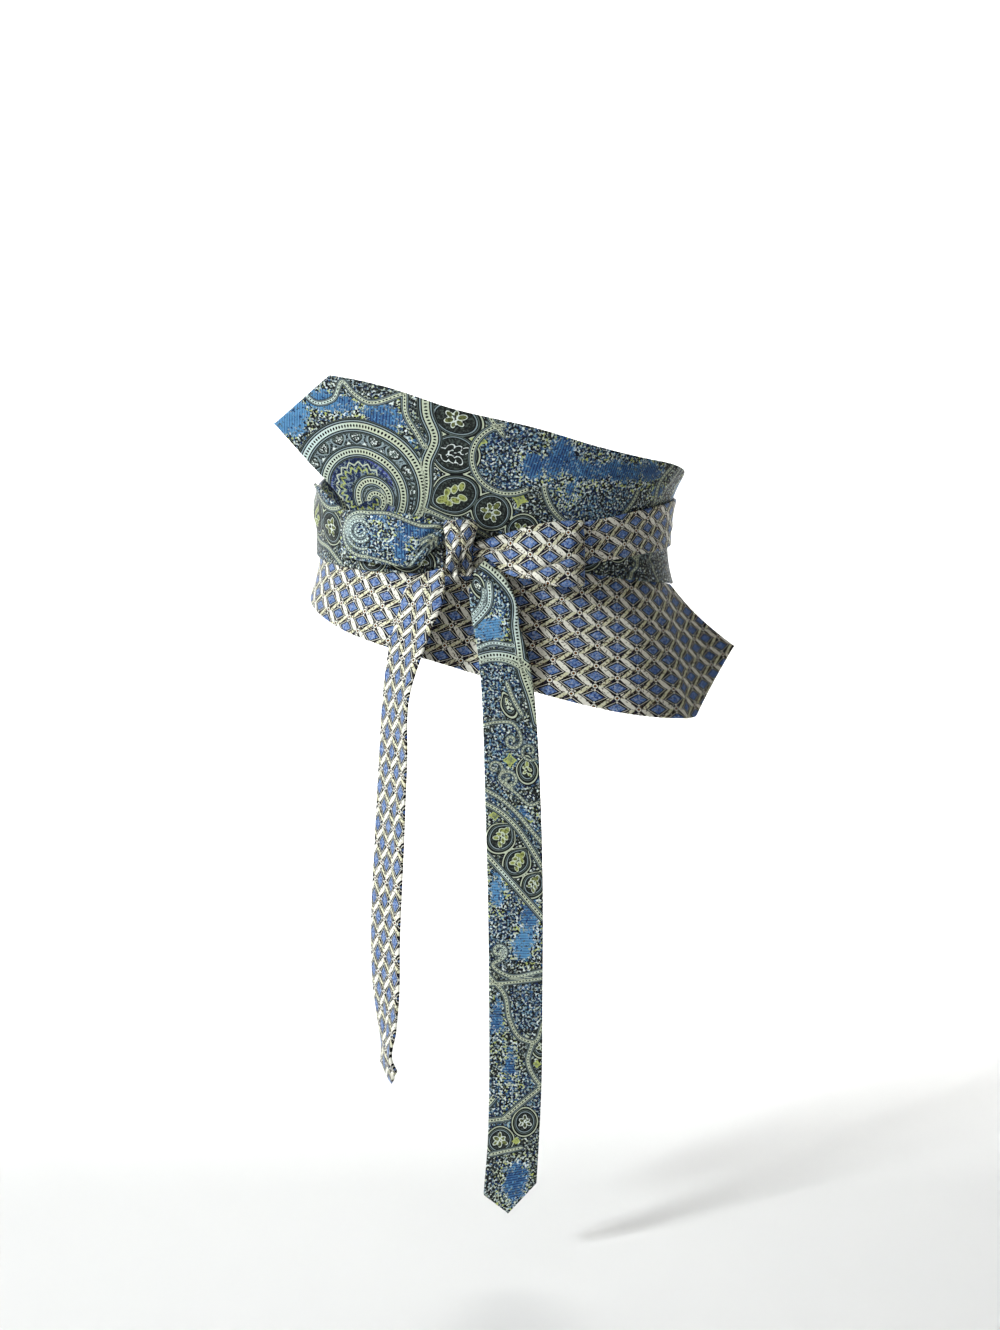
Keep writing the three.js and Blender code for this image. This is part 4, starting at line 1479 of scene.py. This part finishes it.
def loop_surface(rows, up, lean):
    """A ribbon carried along the table's path in front of the figure, upright across. Up
    is -1 where the path sets out to the wearer's right, so that its outer face is out.
    The outer layer is full in the middle, and leans so that its lower edge stands out by
    the lean for each millimetre further down."""
    lengths = chords(np.stack([rows["x"], -rows["out"], rows["z"]], 1))

    def surface(s, v):
        s, v = np.broadcast_arrays(s, v)
        x, out, z = (smooth(lengths, rows[name], s) for name in ("x", "out", "z"))
        half = smooth(lengths, rows["width"], s) / 2
        outer = np.clip((out - OUTER_FROM) / OUTER_OVER, 0, 1)
        middle = in_front(x, out - outer * (v * up * lean + PILLOW * (v / half) ** 2), z)
        middle[..., 2] += v * up
        return middle

    def span(s):
        width = smooth(lengths, rows["width"], s)
        return -width / 2, width / 2

    return (surface, span), lengths[-1]


def make_loop(name, rows, up, lean, creases, silk, layout=None):
    way, end = loop_surface(rows, up, lean)
    make_strip(
        name,
        way,
        spaced((0, end, LOOP_STEP)),
        ACROSS["loop"],
        creases,
        silk,
        layout,
        flat=(FLAT_WIDTH["loop"] * MM, end * MM),
        held="folded",
        rests_on=["knot"],
    )


def tail_surface(rows, tip):
    """The cloth between its two long edges, run on straight below the last row, where it
    narrows to its point."""
    left, right = (
        np.stack([rows[f"{side}_{axis}"] for axis in "xyz"], 1) for side in ("left", "right")
    )
    lengths = chords((left + right) / 2)
    end = lengths[-1]

    def rail(points, s):
        return np.stack([smooth(lengths, points[:, k], s) for k in range(3)], -1)

    last = rail((left + right) / 2, np.array([end - 5, end]))
    down = unit(last[1] - last[0])

    def surface(s, v):
        s, v = np.broadcast_arrays(s, v)
        on = np.clip(s, 0, end)
        a, b = rail(left, on), rail(right, on)
        return (a + b) / 2 + unit(b - a) * v[..., None] + down * (s - on)[..., None]

    def span(s):
        on = np.minimum(s, end)
        width = np.linalg.norm(rail(left, on) - rail(right, on), axis=-1)
        half = np.maximum(TIP, width / 2 * (1 - np.maximum(0, s - end) / tip))
        return -half, half

    return (surface, span), end + tip


def make_tail(name, rows, tip, creases, silk, layout=None):
    way, end = tail_surface(rows, tip)
    make_strip(
        name,
        way,
        spaced((0, end, TAIL_STEP)),
        ACROSS["tail"],
        creases,
        silk,
        layout,
        flat=(FLAT_WIDTH["tail"] * MM, end * MM),
        held="hung",
        rests_on=["knot"],
    )


KNOT_PLEATS = table(
    "share width height",
    (-0.82, 0.14, 0.7),
    (-0.55, 0.09, -1.3),
    (-0.25, 0.2, 1.3),
    (0.06, 0.08, -1.7),
    (0.34, 0.18, 1.4),
    (0.62, 0.08, -1.2),
    (0.85, 0.14, 0.7),
)


KNOT_RINGS, KNOT_TURNS = 84, 128  # level rings, and points round each
KNOT_SQUARE = 0.7  # under 1, so that the front is squarer than half an ellipse
LIP = dict(z=23, reach=4, out=1.2)
UNDERCUT = dict(z=9.5, sway=1.5, drop=17, depth=12.5, power=1.1)
KNOT_WAIST, KNOT_TOP = 8, 26.5  # heights: pleats are deepest at one, and end at the other


def make_knot():
    """The wrap round the bow's middle: level rings through the knot's table, squared by a power
    under 1, with upright pleats at shares of the width, so that they close in at the waist. A lip
    rolls out at the top, and the lower part slopes back under. On the cloth, each trough between
    pleats is painted dark as shade, wider low on the knot, and moves the pattern beyond it."""
    heights = np.linspace(KNOT["z"][0], KNOT["z"][-1], KNOT_RINGS)
    order = KNOT["z"][::-1]
    middle, half, back, front = (
        smooth(order, KNOT[name][::-1], heights)[:, None]
        for name in ("x", "half_width", "back", "front")
    )
    z = heights[:, None]
    turn = np.linspace(0, 2 * math.pi, KNOT_TURNS, endpoint=False)[None, :]
    bulge = np.sign(np.sin(turn)) * np.abs(np.sin(turn)) ** KNOT_SQUARE
    share = -np.cos(turn) + 0 * z
    lip = LIP["out"] * hump((z - LIP["z"]) / LIP["reach"])
    below = UNDERCUT["z"] + UNDERCUT["sway"] * np.sin(share * 6) - z
    under = UNDERCUT["depth"] * np.clip(below / UNDERCUT["drop"], 0, 1) ** UNDERCUT["power"]
    front = np.maximum(front + lip - under, back + 4)
    x = middle + half * share
    # crease: distance from the nearest pleat trough, which the material paints dark as shade; the
    # troughs open wider low on the knot, so its lower part is painted darker too
    pleats, crease = 0 * x, FAR + 0 * x
    for at, width, height in zip(*KNOT_PLEATS.values()):
        drift = at + 0.1 * np.sin(z / 7 + at * 9)
        pleats = pleats + height * np.exp(-(((share - drift) / width) ** 2))
        if height < 0:
            open_ = 0.5 + 5.0 * hump((z + 1) / 12)
            crease = np.minimum(crease, np.abs(share - drift) * half / open_)
    fade = np.clip(np.sin(turn) * 2, 0, 1) * (0.45 + 0.55 * hump((z - KNOT_WAIST) / 20))
    fade = fade * np.clip((KNOT_TOP - z) / 5, 0, 1)
    out = (front + back) / 2 + (front - back) / 2 * bulge + pleats * fade
    points = in_front(x, out, z + 0 * x)
    skew = 2.0 * (share > 0.06) + 1.2 * (share > -0.55)
    # the third part carries the troughs' painted shade
    cloth = np.stack([8.0 - z * 1.25 + skew, share * 12.2 + 0.4, crease], -1)
    faces = [face[::-1] for face in band_faces(KNOT_RINGS, KNOT_TURNS)]
    slot, material = DIAMOND
    make_piece("knot_wrap", points, faces, slot, ["knot"], material, cloth=cloth)


make_ties()
make_loop("left_loop", LEFT_LOOP, -1, 0.04, LEFT_LOOP_FOLDS, PAISLEY, PAISLEY_LOOP)
make_loop("right_loop", RIGHT_LOOP, 1, 0.3, RIGHT_LOOP_FOLDS, DIAMOND)
make_knot()
make_tail("left_tail", LEFT_TAIL, TAIL_TIP["left"], LEFT_TAIL_FOLDS, DIAMOND)
make_tail("right_tail", RIGHT_TAIL, TAIL_TIP["right"], RIGHT_TAIL_FOLDS, PAISLEY, PAISLEY_TAIL)

# ---- studio --------------------------------------------------------------------------

# Lengths here are metres.
FLOOR = -0.47
SWEEP = dict(front=-4.0, back=1.6, radius=0.8, top=2.6, half=4.0)
CAMERA = dict(at=(0.0042, -1.25, 0.084), pitch=7.5, lens=48.34)


def make_camera():
    data = bpy.data.cameras.new("camera")
    data.lens = CAMERA["lens"]
    data.sensor_width = 36
    camera = link("camera", data)
    camera.location = CAMERA["at"]
    camera.rotation_euler = (math.radians(90 - CAMERA["pitch"]), 0, 0)
    bpy.context.scene.camera = camera


def make_backdrop():
    """A floor that sweeps up behind into a wall along a quarter circle."""
    radius, back = SWEEP["radius"], SWEEP["back"]
    turn = np.linspace(0, math.pi / 2, 24)
    y = np.concatenate([[SWEEP["front"]], back - radius + radius * np.sin(turn), [back]])
    z = np.concatenate([[FLOOR], FLOOR + radius * (1 - np.cos(turn)), [SWEEP["top"]]])
    x = np.array([-SWEEP["half"], SWEEP["half"]])
    points = np.stack([np.tile(x, len(y)), np.repeat(y, 2), np.repeat(z, 2)], -1)
    faces = [(2 * i, 2 * i + 1, 2 * i + 3, 2 * i + 2) for i in range(len(y) - 1)]
    mesh = bpy.data.meshes.new("backdrop")
    mesh.from_pydata(points.tolist(), [], faces)
    mesh.shade_smooth()
    material, tree = new_material("pale_paper")
    paper = tree.nodes["Principled BSDF"].inputs
    paper["Base Color"].default_value = (0.78, 0.78, 0.77, 1)
    paper["Roughness"].default_value = 0.6
    mesh.materials.append(material)
    link("backdrop", mesh)


LIGHTS = (
    # name, place, target, size, power, colour
    ("key", (-2.2, -1.72, 1.12), (0, 0, -0.05), 0.5, 85, (0.94, 0.98, 1.0)),
    ("fill", (-0.5, -2.4, 0.9), (0, 0, -0.05), 1.4, 4.5, (1.0, 0.95, 0.88)),
    ("top", (-0.4, -0.6, 2.2), (0, 0, 0), 1.2, 5, (1.0, 1.0, 1.0)),
    ("wall", (0.0, 0.6, 1.5), (0, 1.6, 1.2), 1.6, 106, (1.0, 1.0, 1.0)),
)
PALE_AIR, DIM_AIR = 0.92, 0.045  # how bright the open room looks, and how much it lights


def make_lights():
    for name, place, target, size, power, colour in LIGHTS:
        data = bpy.data.lights.new(name, "AREA")
        data.size = size
        data.energy = power
        data.color = colour
        light = link(name, data)
        light.location = place
        x, y, z = np.subtract(target, place)
        light.rotation_euler = (math.atan2(math.hypot(x, y), -z), 0, math.atan2(-x, y))
    world = bpy.data.worlds.new("studio")
    world.use_nodes = True
    nodes, links = world.node_tree.nodes, world.node_tree.links
    air = nodes["Background"]
    air.inputs["Color"].default_value = (1.0, 0.98, 0.95, 1)
    seen = nodes.new("ShaderNodeLightPath")
    strength = nodes.new("ShaderNodeMapRange")
    strength.inputs["To Min"].default_value = DIM_AIR
    strength.inputs["To Max"].default_value = PALE_AIR
    links.new(seen.outputs["Is Camera Ray"], strength.inputs["Value"])
    links.new(strength.outputs[0], air.inputs["Strength"])
    bpy.context.scene.world = world
    bpy.context.scene.view_settings.view_transform = "Standard"


make_camera()
make_backdrop()
make_lights()
